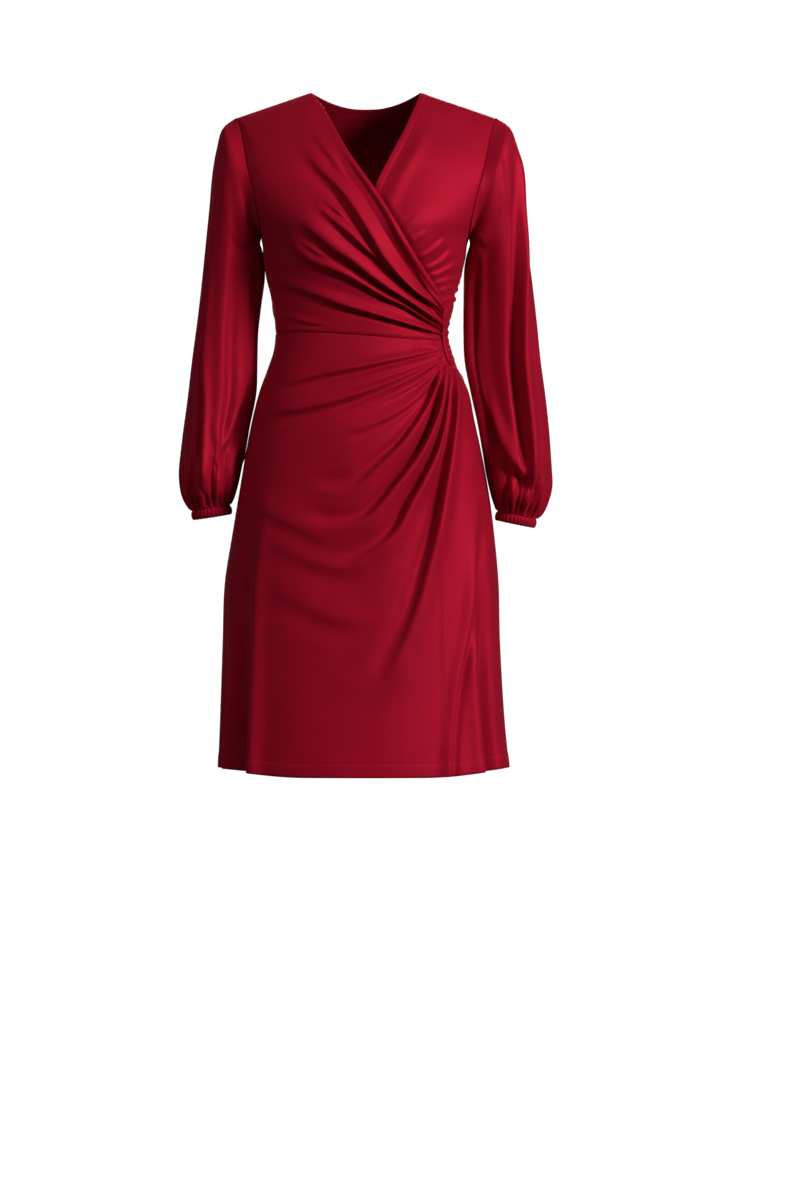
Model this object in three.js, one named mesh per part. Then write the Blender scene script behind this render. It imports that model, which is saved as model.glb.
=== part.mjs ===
// Worn wrap dress: fitted bodice, right front gathered into a side band, draped skirt, bishop sleeves.
// Millimetres, +Z up. The origin lies midway between the shoulder seams at the neck.
// The front faces -Y and the wearer's left is +X. All cloth is a thin wall around an open hollow.
import * as THREE from 'three';

const WALL = 1.5;
const SEAM_GAP = 0.6;
const ARMHOLE_GAP = 2.0;
const UNDERLAP_DROP = 2.4;
const OVERLAP_LIFT = 1.8;
const BAND_THICKNESS = 2.2;

const NECK_HALF_WIDTH = 82.9;
const SHOULDER_HALF_WIDTH = 193.5;
const SHOULDER_DROP = 38;
const BACK_NECK_DROP = 24;
const ARMPIT_Z = -222;
const WAIST_Z = -362;
const WAIST_DIP = 12;
const HEM_Z = -1012;
const HEM_FRONT_DIP = 12;
const SHOULDER_ROUNDING = 120;
const TORSO_EXPONENT = 2.25;

// Torso sections from the neck to the hem: half widths to each side, depths to front and back.
const TORSO_SECTIONS = [
  { z: 10, rightSide: 222, leftSide: 222, front: 62, back: 60 },
  { z: -50, rightSide: 221, leftSide: 221, front: 76, back: 78 },
  { z: -114, rightSide: 212, leftSide: 212, front: 96, back: 90 },
  { z: -156, rightSide: 197, leftSide: 196, front: 110, back: 94 },
  { z: -195, rightSide: 174, leftSide: 173, front: 121, back: 95 },
  { z: -222, rightSide: 157, leftSide: 154, front: 124, back: 95 },
  { z: -250, rightSide: 152, leftSide: 146, front: 120, back: 93 },
  { z: -282, rightSide: 148, leftSide: 139, front: 110, back: 90 },
  { z: -306, rightSide: 143, leftSide: 134, front: 103, back: 87 },
  { z: -342, rightSide: 137, leftSide: 126, front: 97, back: 84 },
  { z: -366, rightSide: 136, leftSide: 123, front: 96, back: 84 },
  { z: -390, rightSide: 139, leftSide: 129, front: 98, back: 88 },
  { z: -414, rightSide: 147, leftSide: 137, front: 101, back: 94 },
  { z: -450, rightSide: 160, leftSide: 154, front: 107, back: 104 },
  { z: -489, rightSide: 170, leftSide: 162, front: 113, back: 115 },
  { z: -540, rightSide: 180, leftSide: 173, front: 118, back: 123 },
  { z: -600, rightSide: 190, leftSide: 184, front: 121, back: 127 },
  { z: -660, rightSide: 200, leftSide: 192, front: 125, back: 129 },
  { z: -738, rightSide: 212, leftSide: 199, front: 130, back: 131 },
  { z: -822, rightSide: 215, leftSide: 201, front: 137, back: 134 },
  { z: -942, rightSide: 219, leftSide: 208, front: 146, back: 141 },
  { z: -1040, rightSide: 223, leftSide: 218, front: 153, back: 148 },
];

// Folds are lines seen from the front, from their soft far end to the end held by the side band.
// Height is how far the ridge stands out, and the widths are its reach at the far and the held end.
const BODICE_FOLDS = [
  { height: 7.4, farWidth: 13, heldWidth: 3.2,
    path: [[-99, -72], [-78, -106], [-54, -135], [-28, -166], [-8, -198], [20, -238], [45, -270], [76, -302],
      [111, -333]] },
  { height: 4.1, farWidth: 6, heldWidth: 2.5, path: [[34, -204], [60, -252], [87, -296], [111, -327]] },
  { height: 9.5, farWidth: 13, heldWidth: 3.4,
    path: [[-81, -150], [-58, -188], [-33, -218], [3, -244], [39, -273], [74, -303], [111, -342]] },
  { height: 10.1, farWidth: 13, heldWidth: 3.4,
    path: [[-105, -180], [-82, -210], [-54, -238], [-12, -266], [20, -288], [66, -320], [111, -350]] },
  { height: 9.5, farWidth: 12, heldWidth: 3.2,
    path: [[-120, -219], [-104, -238], [-86, -256], [-44, -278], [3, -300], [45, -326], [111, -358]] },
  { height: 7.4, farWidth: 12, heldWidth: 3.2,
    path: [[-142, -278], [-98, -290], [-44, -313], [9, -333], [58, -348], [111, -366]] },
  { height: 3.4, farWidth: 8, heldWidth: 3, path: [[-136, -324], [-87, -346], [-32, -353], [45, -361]] },
];

// Short creases that fan from the wrap edge towards the left side seam, listed from the seam inwards.
const UNDERLAP_FOLDS = [
  { height: 2.6, farWidth: 6, heldWidth: 4, path: [[88, -186], [70, -198], [52, -210]] },
  { height: 3.6, farWidth: 7, heldWidth: 4, path: [[112, -206], [88, -218], [66, -234]] },
  { height: 3.8, farWidth: 7, heldWidth: 4, path: [[124, -226], [104, -236], [78, -252]] },
  { height: 3.8, farWidth: 6, heldWidth: 4, path: [[134, -244], [116, -253], [92, -267]] },
  { height: 3.8, farWidth: 6, heldWidth: 4, path: [[140, -262], [122, -268], [99, -282]] },
  { height: 3.6, farWidth: 5, heldWidth: 4, path: [[141, -280], [124, -286], [105, -296]] },
  { height: 3.6, farWidth: 5, heldWidth: 4, path: [[138, -298], [126, -302], [108, -309]] },
];

const SKIRT_FOLDS = [
  { height: 6.5, farWidth: 11, heldWidth: 4,
    path: [[-140, -446], [-80, -430], [-8, -417], [58, -404], [114, -388]] },
  { height: 9.1, farWidth: 15, heldWidth: 4,
    path: [[-153, -484], [-110, -481], [-54, -474], [-8, -462], [45, -442], [84, -423], [117, -399]] },
  { height: 7.2, farWidth: 15, heldWidth: 4,
    path: [[-39, -525], [6, -508], [45, -484], [92, -448], [120, -408]] },
  { height: 9.8, farWidth: 15, heldWidth: 4,
    path: [[-150, -552], [-126, -574], [-104, -590], [-64, -602], [-24, -603], [9, -591], [38, -558],
      [70, -510], [98, -464], [122, -413]] },
  { height: 10.4, farWidth: 16, heldWidth: 4,
    path: [[-165, -574], [-148, -604], [-124, -626], [-78, -641], [-33, -648], [-2, -642], [34, -608],
      [66, -560], [98, -510], [116, -464], [126, -420]] },
  { height: 9.8, farWidth: 16, heldWidth: 4,
    path: [[-21, -705], [24, -657], [56, -612], [92, -562], [116, -516], [128, -464], [130, -424]] },
  { height: 8.5, farWidth: 18, heldWidth: 7,
    path: [[-24, -830], [8, -784], [40, -720], [66, -672], [87, -620], [98, -576], [117, -520]] },
  { height: 10.4, farWidth: 18, heldWidth: 6,
    path: [[-4, -996], [38, -920], [66, -861], [81, -804], [98, -740], [114, -676], [126, -594], [134, -542],
      [138, -495], [134, -444]] },
  { height: 11.7, farWidth: 14, heldWidth: 9,
    path: [[123, -1029], [129, -932], [140, -849], [150, -756], [159, -694], [166, -632], [166, -567]] },
  { height: 3.9, farWidth: 14, heldWidth: 12, path: [[-162, -603], [-148, -625], [-100, -650], [-56, -668]] },
  { height: 4.5, farWidth: 16, heldWidth: 14, path: [[-156, -664], [-100, -692], [-63, -704], [-24, -708]] },
  { height: 4.5, farWidth: 18, heldWidth: 16, path: [[-144, -732], [-99, -760], [-50, -782], [-6, -787]] },
];

// Standing flutes of the skirt: the ring angle is 0 at the front, 90 at the wearer's left, -90 at the right.
const SKIRT_FLUTES = [
  { angle: -54, spread: 5, hem: 9, top: -560 },
  { angle: -67, spread: 7, hem: -20, top: -600 },
  { angle: 55, spread: 6, hem: 8, top: -560 },
  { angle: 69, spread: 7, hem: -15, top: -600 },
  { angle: -116, spread: 10, hem: -12, top: -640 },
  { angle: -138, spread: 11, hem: 9, top: -620 },
  { angle: -160, spread: 10, hem: -10, top: -660 },
  { angle: 178, spread: 10, hem: 8, top: -640 },
  { angle: 158, spread: 9, hem: -11, top: -600 },
  { angle: 137, spread: 11, hem: 9, top: -640 },
  { angle: 115, spread: 10, hem: -11, top: -620 },
];

// Sleeve rings below the armhole: the outer and inner edge seen from the front and the half depth.
const RIGHT_SLEEVE_RINGS = [
  { outer: [-214, -54], inner: [-160, -229], depth: 60 },
  { outer: [-225, -90], inner: [-163, -236], depth: 60 },
  { outer: [-231, -126], inner: [-161, -246], depth: 59 },
  { outer: [-235, -172], inner: [-159, -262], depth: 56 },
  { outer: [-240, -222], inner: [-157, -284], depth: 53 },
  { outer: [-246, -282], inner: [-158, -318], depth: 50 },
  { outer: [-253, -342], inner: [-161, -360], depth: 48 },
  { outer: [-261, -402], inner: [-165, -402], depth: 46 },
  { outer: [-268, -462], inner: [-173, -452], depth: 47 },
  { outer: [-276, -522], inner: [-186, -512], depth: 49 },
  { outer: [-279, -558], inner: [-196, -552], depth: 49 },
  { outer: [-278, -582], inner: [-199, -578], depth: 47 },
  { outer: [-274, -604], inner: [-201, -598], depth: 42 },
  { outer: [-268, -618], inner: [-203, -611], depth: 36 },
  { outer: [-261, -629], inner: [-204, -620], depth: 30 },
];
const LEFT_SLEEVE_RINGS = [
  { outer: [216, -54], inner: [157, -229], depth: 60 },
  { outer: [228, -90], inner: [160, -236], depth: 60 },
  { outer: [234, -126], inner: [157, -246], depth: 59 },
  { outer: [236, -172], inner: [154, -262], depth: 56 },
  { outer: [241, -222], inner: [150, -284], depth: 53 },
  { outer: [249, -282], inner: [148, -318], depth: 50 },
  { outer: [256, -342], inner: [147, -360], depth: 48 },
  { outer: [262, -402], inner: [151, -402], depth: 46 },
  { outer: [270, -462], inner: [165, -452], depth: 47 },
  { outer: [276, -522], inner: [181, -512], depth: 49 },
  { outer: [278, -566], inner: [190, -560], depth: 49 },
  { outer: [277, -592], inner: [193, -586], depth: 47 },
  { outer: [271, -614], inner: [195, -606], depth: 42 },
  { outer: [264, -630], inner: [196, -620], depth: 36 },
  { outer: [255, -641], inner: [197, -629], depth: 30 },
];
const CUFF_HEIGHT = 13;
const GATHER_HEIGHT = 2.4;

const FABRIC = new THREE.MeshStandardMaterial({ color: 0x8f1028, roughness: 0.62, metalness: 0 });

function smoothstep(low, high, value) {
  const t = Math.min(1, Math.max(0, (value - low) / (high - low)));
  return t * t * (3 - 2 * t);
}

function mix(a, b, t) {
  return a + (b - a) * t;
}

// Cubic Hermite reading of one column of the torso table.
function torsoSize(column, z) {
  const rows = TORSO_SECTIONS;
  const last = rows.length - 1;
  let i = 0;
  while (i < last - 1 && z < rows[i + 1].z) i += 1;
  const slope = (j) => {
    const above = rows[Math.max(0, j - 1)];
    const below = rows[Math.min(last, j + 1)];
    return (below[column] - above[column]) / (below.z - above.z);
  };
  const span = rows[i + 1].z - rows[i].z;
  const t = Math.min(1, Math.max(0, (z - rows[i].z) / span));
  const value = mix(rows[i][column], rows[i + 1][column], 3 * t ** 2 - 2 * t ** 3);
  return value + (t ** 3 - 2 * t ** 2 + t) * span * slope(i) + (t ** 3 - t ** 2) * span * slope(i + 1);
}

function shoulderZ(x) {
  const seamLength = SHOULDER_HALF_WIDTH - NECK_HALF_WIDTH;
  return -SHOULDER_DROP * Math.max(0, Math.abs(x) - NECK_HALF_WIDTH) / seamLength;
}

// The body ring: angle 0 is the front, +90 the wearer's left side seam, 180 the back.
function ringPoint(angle, z) {
  const radians = angle * Math.PI / 180;
  const across = Math.sin(radians);
  const along = Math.cos(radians);
  const width = torsoSize(across < 0 ? 'rightSide' : 'leftSide', z);
  const depth = torsoSize(along > 0 ? 'front' : 'back', z);
  const power = 2 / TORSO_EXPONENT;
  const x = Math.sign(across) * width * Math.abs(across) ** power;
  const y = -Math.sign(along) * depth * Math.abs(along) ** power;
  const belowShoulder = Math.max(0, shoulderZ(x) - z);
  const rise = Math.max(0, 1 - belowShoulder / SHOULDER_ROUNDING);
  return new THREE.Vector3(x, y * Math.sqrt(1 - rise * rise) ** 1.15, z);
}

// The ring angle of a point seen from the front, for x inside the silhouette.
function frontAngle(x, z) {
  const width = torsoSize(x < 0 ? 'rightSide' : 'leftSide', z);
  const share = Math.min(1, Math.abs(x) / width) ** (TORSO_EXPONENT / 2);
  return Math.sign(x) * Math.asin(share) * 180 / Math.PI;
}

// A smooth line through hand-placed points seen from the front.
function curveThrough(points) {
  const places = points.map(([x, z]) => new THREE.Vector3(x, 0, z));
  return new THREE.CatmullRomCurve3(places, false, 'centripetal');
}

function preparedFolds(folds) {
  return folds.map((fold) => ({ ...fold, line: curveThrough(fold.path).getPoints(28) }));
}

// Signed distance from a fold line, positive above or right of it, with the share of the way along it.
function measureFold(line, x, z) {
  let best = { distance: Infinity, share: 0 };
  for (let i = 0; i < line.length - 1; i += 1) {
    const a = line[i];
    const b = line[i + 1];
    const dx = b.x - a.x;
    const dz = b.z - a.z;
    const t = Math.min(1, Math.max(0, ((x - a.x) * dx + (z - a.z) * dz) / (dx * dx + dz * dz)));
    const offX = x - a.x - t * dx;
    const offZ = z - a.z - t * dz;
    const reach = Math.hypot(offX, offZ);
    if (reach < Math.abs(best.distance)) {
      const side = Math.sign(dx * offZ - dz * offX) || 1;
      best = { distance: side * reach, share: (i + t) / (line.length - 1) };
    }
  }
  return best;
}

// Each fold is a ridge, soft above and steep below, with a trough under it.
function foldHeight(folds, x, z) {
  let total = 0;
  for (const fold of folds) {
    const { distance, share } = measureFold(fold.line, x, z);
    const width = mix(fold.farWidth, fold.heldWidth, share);
    const strength = fold.height * smoothstep(0, 0.35, share) * mix(1, 0.6, smoothstep(0.8, 1, share));
    const reach = distance > 0 ? width * 1.15 : width * 0.75;
    total += strength * Math.exp(-((distance / reach) ** 2));
    total -= 0.4 * strength * Math.exp(-(((distance + 1.7 * width) / width) ** 2));
  }
  return total;
}

const bodiceFolds = preparedFolds(BODICE_FOLDS);
const underlapFolds = preparedFolds(UNDERLAP_FOLDS);
const skirtFolds = preparedFolds(SKIRT_FOLDS);

// Outlines seen from the front, as [x, z].
const WRAP_EDGE = [[-NECK_HALF_WIDTH, 0], [-58, -38], [-28, -93], [11, -150], [32, -182], [63, -234],
  [89, -276], [106, -302], [113.5, -325]];
const BAND_LEFT_EDGE = [[113.5, -324], [112.5, -345], [114, -380], [119, -400], [126, -414]];
const RIGHT_ARMHOLE = [[-157, ARMPIT_Z], [-158, -208], [-166, -162], [-177, -116], [-187, -62],
  [-SHOULDER_HALF_WIDTH, -SHOULDER_DROP]];
const NECKLINE_TIP = [15, -150];
const UNDERLAP_END = [-62, -366];

const wrapEdge = curveThrough(WRAP_EDGE);
const wrapEdgeLine = wrapEdge.getPoints(48);
const bandEdge = curveThrough(BAND_LEFT_EDGE);
const armhole = curveThrough(RIGHT_ARMHOLE);

// The waist seam dips towards the side band.
function waistZ(x) {
  return WAIST_Z - WAIST_DIP * smoothstep(-125, 105, x);
}

// Ring coordinates, angle and height, of an outline point seen from the front.
function ringCoordinates([x, z]) {
  return { angle: frontAngle(x, z), z };
}

const ARMPIT_SHARE = 0.3;
const SHOULDER_SHARE = 0.8;
const ARMPIT_NARROWING = 3;

// The body edge of a front panel: side seam, armhole, then the shoulder seam to the neck.
// side is -1 for the wearer's right and 1 for the left.
function bodyEdge(side, share) {
  if (share <= ARMPIT_SHARE) {
    return { angle: 90 * side, z: mix(waistZ(130 * side), ARMPIT_Z, share / ARMPIT_SHARE) };
  }
  if (share <= SHOULDER_SHARE) {
    return ringCoordinates(armholeOutline(side, (share - ARMPIT_SHARE) / (SHOULDER_SHARE - ARMPIT_SHARE)));
  }
  const x = side * mix(SHOULDER_HALF_WIDTH, NECK_HALF_WIDTH, (share - SHOULDER_SHARE) / (1 - SHOULDER_SHARE));
  return ringCoordinates([x, shoulderZ(x)]);
}

// The armhole seen from the front, from the armpit up to the shoulder tip.
function armholeOutline(side, share) {
  const point = armhole.getPointAt(share);
  const narrowing = side > 0 ? ARMPIT_NARROWING * smoothstep(-130, ARMPIT_Z, point.z) : 0;
  return [side * (-point.x - narrowing), point.z];
}

// Coons patch of four edges in ring coordinates. u and v run from 0 to 1.
function coonsPatch(bottom, top, left, right, u, v) {
  const corners = [bottom(0), bottom(1), top(0), top(1)];
  const value = (key) => {
    const ruled = mix(bottom(u)[key], top(u)[key], v) + mix(left(v)[key], right(v)[key], u);
    const low = mix(corners[0][key], corners[1][key], u);
    const high = mix(corners[2][key], corners[3][key], u);
    return ruled - mix(low, high, v);
  };
  return { angle: value('angle'), z: value('z') };
}

// Outward direction of a grid of points, from its neighbours. A closed grid repeats in its first index.
function gridNormals(grid, closed, flip) {
  const columns = grid.length;
  const rows = grid[0].length;
  return grid.map((column, i) => column.map((point, j) => {
    const before = closed ? grid[(i + columns - 1) % columns][j] : grid[Math.max(0, i - 1)][j];
    const after = closed ? grid[(i + 1) % columns][j] : grid[Math.min(columns - 1, i + 1)][j];
    const below = grid[i][Math.max(0, j - 1)];
    const above = grid[i][Math.min(rows - 1, j + 1)];
    const across = new THREE.Vector3().subVectors(after, before);
    const up = new THREE.Vector3().subVectors(above, below);
    return across.cross(up).normalize().multiplyScalar(flip ? -1 : 1);
  }));
}

// Closed thin wall from an outer and an inner grid of the same size.
function wallGeometry(outer, inner, closed, flip) {
  const columns = outer.length;
  const rows = outer[0].length;
  const points = [...outer.flat(), ...inner.flat()];
  const start = columns * rows;
  const index = [];
  const outerAt = (i, j) => (i % columns) * rows + j;
  const innerAt = (i, j) => start + outerAt(i, j);
  const quad = (a, b, c, d) => {
    if (flip) index.push(a, c, b, a, d, c);
    else index.push(a, b, c, a, c, d);
  };
  const spans = closed ? columns : columns - 1;
  for (let i = 0; i < spans; i += 1) {
    for (let j = 0; j < rows - 1; j += 1) {
      quad(outerAt(i, j), outerAt(i + 1, j), outerAt(i + 1, j + 1), outerAt(i, j + 1));
      quad(innerAt(i, j), innerAt(i, j + 1), innerAt(i + 1, j + 1), innerAt(i + 1, j));
    }
    quad(outerAt(i, 0), innerAt(i, 0), innerAt(i + 1, 0), outerAt(i + 1, 0));
    quad(outerAt(i, rows - 1), outerAt(i + 1, rows - 1), innerAt(i + 1, rows - 1), innerAt(i, rows - 1));
  }
  for (let j = 0; j < rows - 1 && !closed; j += 1) {
    const end = columns - 1;
    quad(outerAt(0, j), outerAt(0, j + 1), innerAt(0, j + 1), innerAt(0, j));
    quad(outerAt(end, j), innerAt(end, j), innerAt(end, j + 1), outerAt(end, j + 1));
  }
  const geometry = new THREE.BufferGeometry();
  const coordinates = points.flatMap((point) => point.toArray());
  geometry.setAttribute('position', new THREE.Float32BufferAttribute(coordinates, 3));
  geometry.setIndex(index);
  geometry.computeVertexNormals();
  return geometry;
}

function namedMesh(name, geometry) {
  const mesh = new THREE.Mesh(geometry, FABRIC.clone());
  mesh.name = name;
  return mesh;
}

// A cloth wall whose outer face is the base grid moved out by lift(i, j).
function liftedPanel(name, base, lift, { closed = false, flip = false, thickness = WALL } = {}) {
  const normals = gridNormals(base, closed, flip);
  const shifted = (extra) => base.map((column, i) => column.map((point, j) => (
    point.clone().addScaledVector(normals[i][j], lift(i, j) + extra))));
  return namedMesh(name, wallGeometry(shifted(0), shifted(-thickness), closed, flip));
}

function gridOf(columns, rows, pointAt) {
  return Array.from({ length: columns + 1 }, (_, i) => (
    Array.from({ length: rows + 1 }, (__, j) => pointAt(i / columns, j / rows))));
}

// Front panels stay in front of the side seam plane and back panels behind it, half a gap clear.
function keepToSide(mesh, facing) {
  const position = mesh.geometry.getAttribute('position');
  for (let i = 0; i < position.count; i += 1) {
    const y = position.getY(i);
    position.setY(i, facing === 'front' ? Math.min(y, -SEAM_GAP / 2) : Math.max(y, SEAM_GAP / 2));
  }
  return mesh;
}

// Bodice panels stay above the waist seam and skirt panels below it, half a gap clear.
function keepToWaist(mesh, region) {
  const position = mesh.geometry.getAttribute('position');
  for (let i = 0; i < position.count; i += 1) {
    const seam = waistZ(position.getX(i));
    const z = position.getZ(i);
    const above = Math.max(z, seam + SEAM_GAP / 2);
    const below = Math.min(z, seam - SEAM_GAP / 2);
    position.setZ(i, region === 'bodice' ? above : below);
  }
  return mesh;
}

// The right front overlaps the left, and its folds gather into the side band.
function bodiceFrontRight() {
  const bandAngle = frontAngle(bandEdge.getPoint(0.5).x - SEAM_GAP, waistZ(112));
  const bottom = (u) => {
    const angle = mix(-90, bandAngle, u);
    return { angle, z: waistZ(ringPoint(angle, WAIST_Z).x) };
  };
  const top = (u) => {
    const point = wrapEdge.getPointAt(u);
    return ringCoordinates([point.x - (u === 1 ? SEAM_GAP : 0), point.z]);
  };
  const left = (v) => bodyEdge(-1, v);
  const right = (v) => {
    const z = mix(waistZ(112), top(1).z, v);
    return { angle: mix(bandAngle, top(1).angle, v), z };
  };
  const base = gridOf(34, 20, (u, v) => {
    const at = coonsPatch(bottom, top, left, right, u ** 0.9, v);
    return ringPoint(at.angle, at.z);
  });
  const lift = (i, j) => {
    const { x, z } = base[i][j];
    const fromBodyEdge = smoothstep(0, 5, i);
    return fromBodyEdge * (OVERLAP_LIFT + Math.max(-1, foldHeight(bodiceFolds, x, z)));
  };
  return keepToWaist(keepToSide(liftedPanel('bodice_front_right', base, lift), 'front'), 'bodice');
}

const UNDERLAP_EDGE = [UNDERLAP_END, [-24, -258], NECKLINE_TIP, [45, -90], [70, -36], [NECK_HALF_WIDTH, 0]];
const underlapEdge = curveThrough(UNDERLAP_EDGE);

// The left front shows above the wrap edge and runs on beneath the right front to the waist seam.
function bodiceFrontLeft() {
  const startAngle = frontAngle(UNDERLAP_END[0], WAIST_Z);
  const bottom = (u) => {
    const angle = mix(startAngle, 90, u);
    return { angle, z: waistZ(ringPoint(angle, WAIST_Z).x) };
  };
  const top = (u) => bodyEdge(1, 1 - (1 - SHOULDER_SHARE) * u);
  const left = (v) => {
    const point = underlapEdge.getPointAt(v);
    return ringCoordinates([point.x, v === 0 ? waistZ(point.x) : point.z]);
  };
  const right = (v) => bodyEdge(1, SHOULDER_SHARE * v);
  const columns = 18;
  const base = gridOf(columns, 16, (u, v) => {
    const at = coonsPatch(bottom, top, left, right, u, v);
    return ringPoint(at.angle, at.z);
  });
  const lift = (i, j) => {
    const { x, z } = base[i][j];
    const beside = measureFold(wrapEdgeLine, x, z).distance;
    const shown = smoothstep(4, 26, beside);
    const creases = i === columns ? 0 : Math.max(-1, foldHeight(underlapFolds, x, z));
    return mix(-UNDERLAP_DROP, creases, shown);
  };
  return keepToWaist(keepToSide(liftedPanel('bodice_front_left', base, lift), 'front'), 'bodice');
}

function bodiceBack() {
  const behind = ({ angle, z }) => ({ angle: 180 - angle, z });
  const bottom = (u) => {
    const angle = mix(90, 270, u);
    return { angle, z: waistZ(mix(130, -130, u)) };
  };
  const top = (u) => {
    const x = mix(SHOULDER_HALF_WIDTH, -SHOULDER_HALF_WIDTH, u);
    const neck = BACK_NECK_DROP * Math.max(0, 1 - (x / NECK_HALF_WIDTH) ** 2);
    return behind(ringCoordinates([x, shoulderZ(x) - neck]));
  };
  const left = (v) => behind(bodyEdge(1, SHOULDER_SHARE * v));
  const right = (v) => behind(bodyEdge(-1, SHOULDER_SHARE * v));
  const base = gridOf(14, 16, (u, v) => {
    const at = coonsPatch(bottom, top, left, right, u, v);
    return ringPoint(at.angle, at.z);
  });
  return keepToWaist(keepToSide(liftedPanel('bodice_back', base, () => 0), 'back'), 'bodice');
}

// Ring angles spaced for even cloth between them, closer together where the skirt turns its corners.
function skirtAngles(from, to, count) {
  const samples = 720;
  const spacing = (angle) => 1 + 0.9 * Math.exp(-(((Math.abs(angle) - 61) / 15) ** 2));
  const lengths = [0];
  for (let k = 1; k <= samples; k += 1) {
    const before = mix(from, to, (k - 1) / samples);
    const after = mix(from, to, k / samples);
    const step = ringPoint(after, -800).distanceTo(ringPoint(before, -800)) * spacing((before + after) / 2);
    lengths.push(lengths[k - 1] + step);
  }
  return Array.from({ length: count + 1 }, (_, i) => {
    const wanted = lengths[samples] * i / count;
    const k = Math.max(1, lengths.findIndex((length) => length >= wanted - 1e-9));
    const share = (wanted - lengths[k - 1]) / (lengths[k] - lengths[k - 1]);
    return mix(from, to, (k - 1 + share) / samples);
  });
}

// The flutes grow from nothing at their top to their full size at the hem.
function fluteHeight(angle, z) {
  return SKIRT_FLUTES.reduce((sum, flute) => {
    const turn = ((angle - flute.angle + 540) % 360) - 180;
    return sum + flute.hem * smoothstep(flute.top, HEM_Z, z) * Math.exp(-((turn / flute.spread) ** 2));
  }, 0);
}

function hemZ(angle) {
  return HEM_Z - HEM_FRONT_DIP * smoothstep(80, 20, Math.abs(angle));
}

function skirtPanel(name, facing, columns, rows) {
  const [from, to] = facing === 'front' ? [-90, 90] : [90, 270];
  const angles = skirtAngles(from, to, columns);
  const base = gridOf(columns, rows, (u, v) => {
    const angle = angles[Math.round(u * columns)];
    const top = waistZ(ringPoint(angle, WAIST_Z).x);
    const z = mix(hemZ(facing === 'front' ? angle : 90), top, v ** 0.92);
    return ringPoint(angle, z);
  });
  const lift = (i, j) => {
    const { x, z } = base[i][j];
    const flute = fluteHeight(angles[i], z);
    if (facing === 'back') return flute;
    const band = measureFold(bandEdgeLine, x, z);
    const clearOfBand = smoothstep(0, 9, Math.abs(band.distance)) * (band.distance > 0 && z > -416 ? 0 : 1);
    const clearOfSeam = smoothstep(0, 2, i) * smoothstep(0, 2, columns - i);
    return flute + clearOfBand * clearOfSeam * foldHeight(skirtFolds, x, z);
  };
  return keepToWaist(keepToSide(liftedPanel(name, base, lift), facing), 'skirt');
}

// The side band is a narrow strip that covers the gathered ends, from above the waist seam to below it.
const BAND_WIDTH_ANGLE = 11;
const BAND_CLEARANCE = 0.9;
const BAND_CLEAR_ANGLE = 0.6;
const bandEdgeLine = bandEdge.getPoints(24);

function sideBand() {
  const base = gridOf(3, 10, (u, v) => {
    const point = bandEdge.getPoint(1 - v);
    return ringPoint(frontAngle(point.x, point.z) + BAND_CLEAR_ANGLE + u * BAND_WIDTH_ANGLE, point.z);
  });
  return liftedPanel('side_band', base, () => BAND_CLEARANCE + BAND_THICKNESS, { thickness: BAND_THICKNESS });
}

// The loop of the armhole seam: turn 0 is the shoulder tip, 90 the front, 180 the armpit, 270 the back.
function armholePoint(side, turn) {
  const toFront = turn <= 180;
  const share = 1 - (toFront ? turn : 360 - turn) / 180;
  const { angle, z } = ringCoordinates(armholeOutline(side, share));
  const point = ringPoint(toFront ? angle : 180 - angle, z);
  point.x += side * ARMHOLE_GAP;
  return point;
}

function sleeveRingPoint(ring, turn) {
  const radians = turn * Math.PI / 180;
  const x = mix(ring.inner[0], ring.outer[0], (1 + Math.cos(radians)) / 2);
  const z = mix(ring.inner[1], ring.outer[1], (1 + Math.cos(radians)) / 2);
  return new THREE.Vector3(x, -ring.depth * Math.sin(radians), z);
}

const SLEEVE_COLUMNS = 40;
const SLEEVE_ROWS = 15;

function sleeveTurns() {
  return Array.from({ length: SLEEVE_COLUMNS }, (_, i) => 360 * i / SLEEVE_COLUMNS);
}

function sleeve(name, side, rings) {
  const base = sleeveTurns().map((turn) => {
    const line = new THREE.CatmullRomCurve3([armholePoint(side, turn), ...rings.map((ring) => (
      sleeveRingPoint(ring, turn)))], false, 'centripetal');
    return Array.from({ length: SLEEVE_ROWS + 1 }, (_, j) => line.getPoint(j / SLEEVE_ROWS));
  });
  const lift = (i, j) => {
    const gathered = smoothstep(SLEEVE_ROWS - 5, SLEEVE_ROWS - 1, j) * (j === SLEEVE_ROWS ? 0.25 : 1);
    return gathered * GATHER_HEIGHT * (i % 2 === 0 ? 1 : -0.6);
  };
  return liftedPanel(name, base, lift, { closed: true, flip: side < 0 });
}

function cuff(name, side, lastRing) {
  const { outer, inner } = lastRing;
  const across = new THREE.Vector3(inner[1] - outer[1], 0, outer[0] - inner[0]);
  const down = across.normalize().multiplyScalar(-side);
  const base = sleeveTurns().map((turn) => {
    const start = sleeveRingPoint(lastRing, turn);
    return [0, 1].map((v) => start.clone().addScaledVector(down, SEAM_GAP + v * CUFF_HEIGHT));
  });
  const lift = (i) => (i % 2 === 0 ? 0.8 : 0);
  return liftedPanel(name, base, lift, { closed: true, flip: side < 0, thickness: 2.4 });
}

const dress = new THREE.Group();
dress.add(
  bodiceFrontRight(),
  bodiceFrontLeft(),
  bodiceBack(),
  skirtPanel('skirt_front', 'front', 34, 32),
  skirtPanel('skirt_back', 'back', 22, 16),
  sideBand(),
  sleeve('sleeve_right', -1, RIGHT_SLEEVE_RINGS),
  sleeve('sleeve_left', 1, LEFT_SLEEVE_RINGS),
  cuff('cuff_right', -1, RIGHT_SLEEVE_RINGS.at(-1)),
  cuff('cuff_left', 1, LEFT_SLEEVE_RINGS.at(-1)),
);

export default dress;
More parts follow.
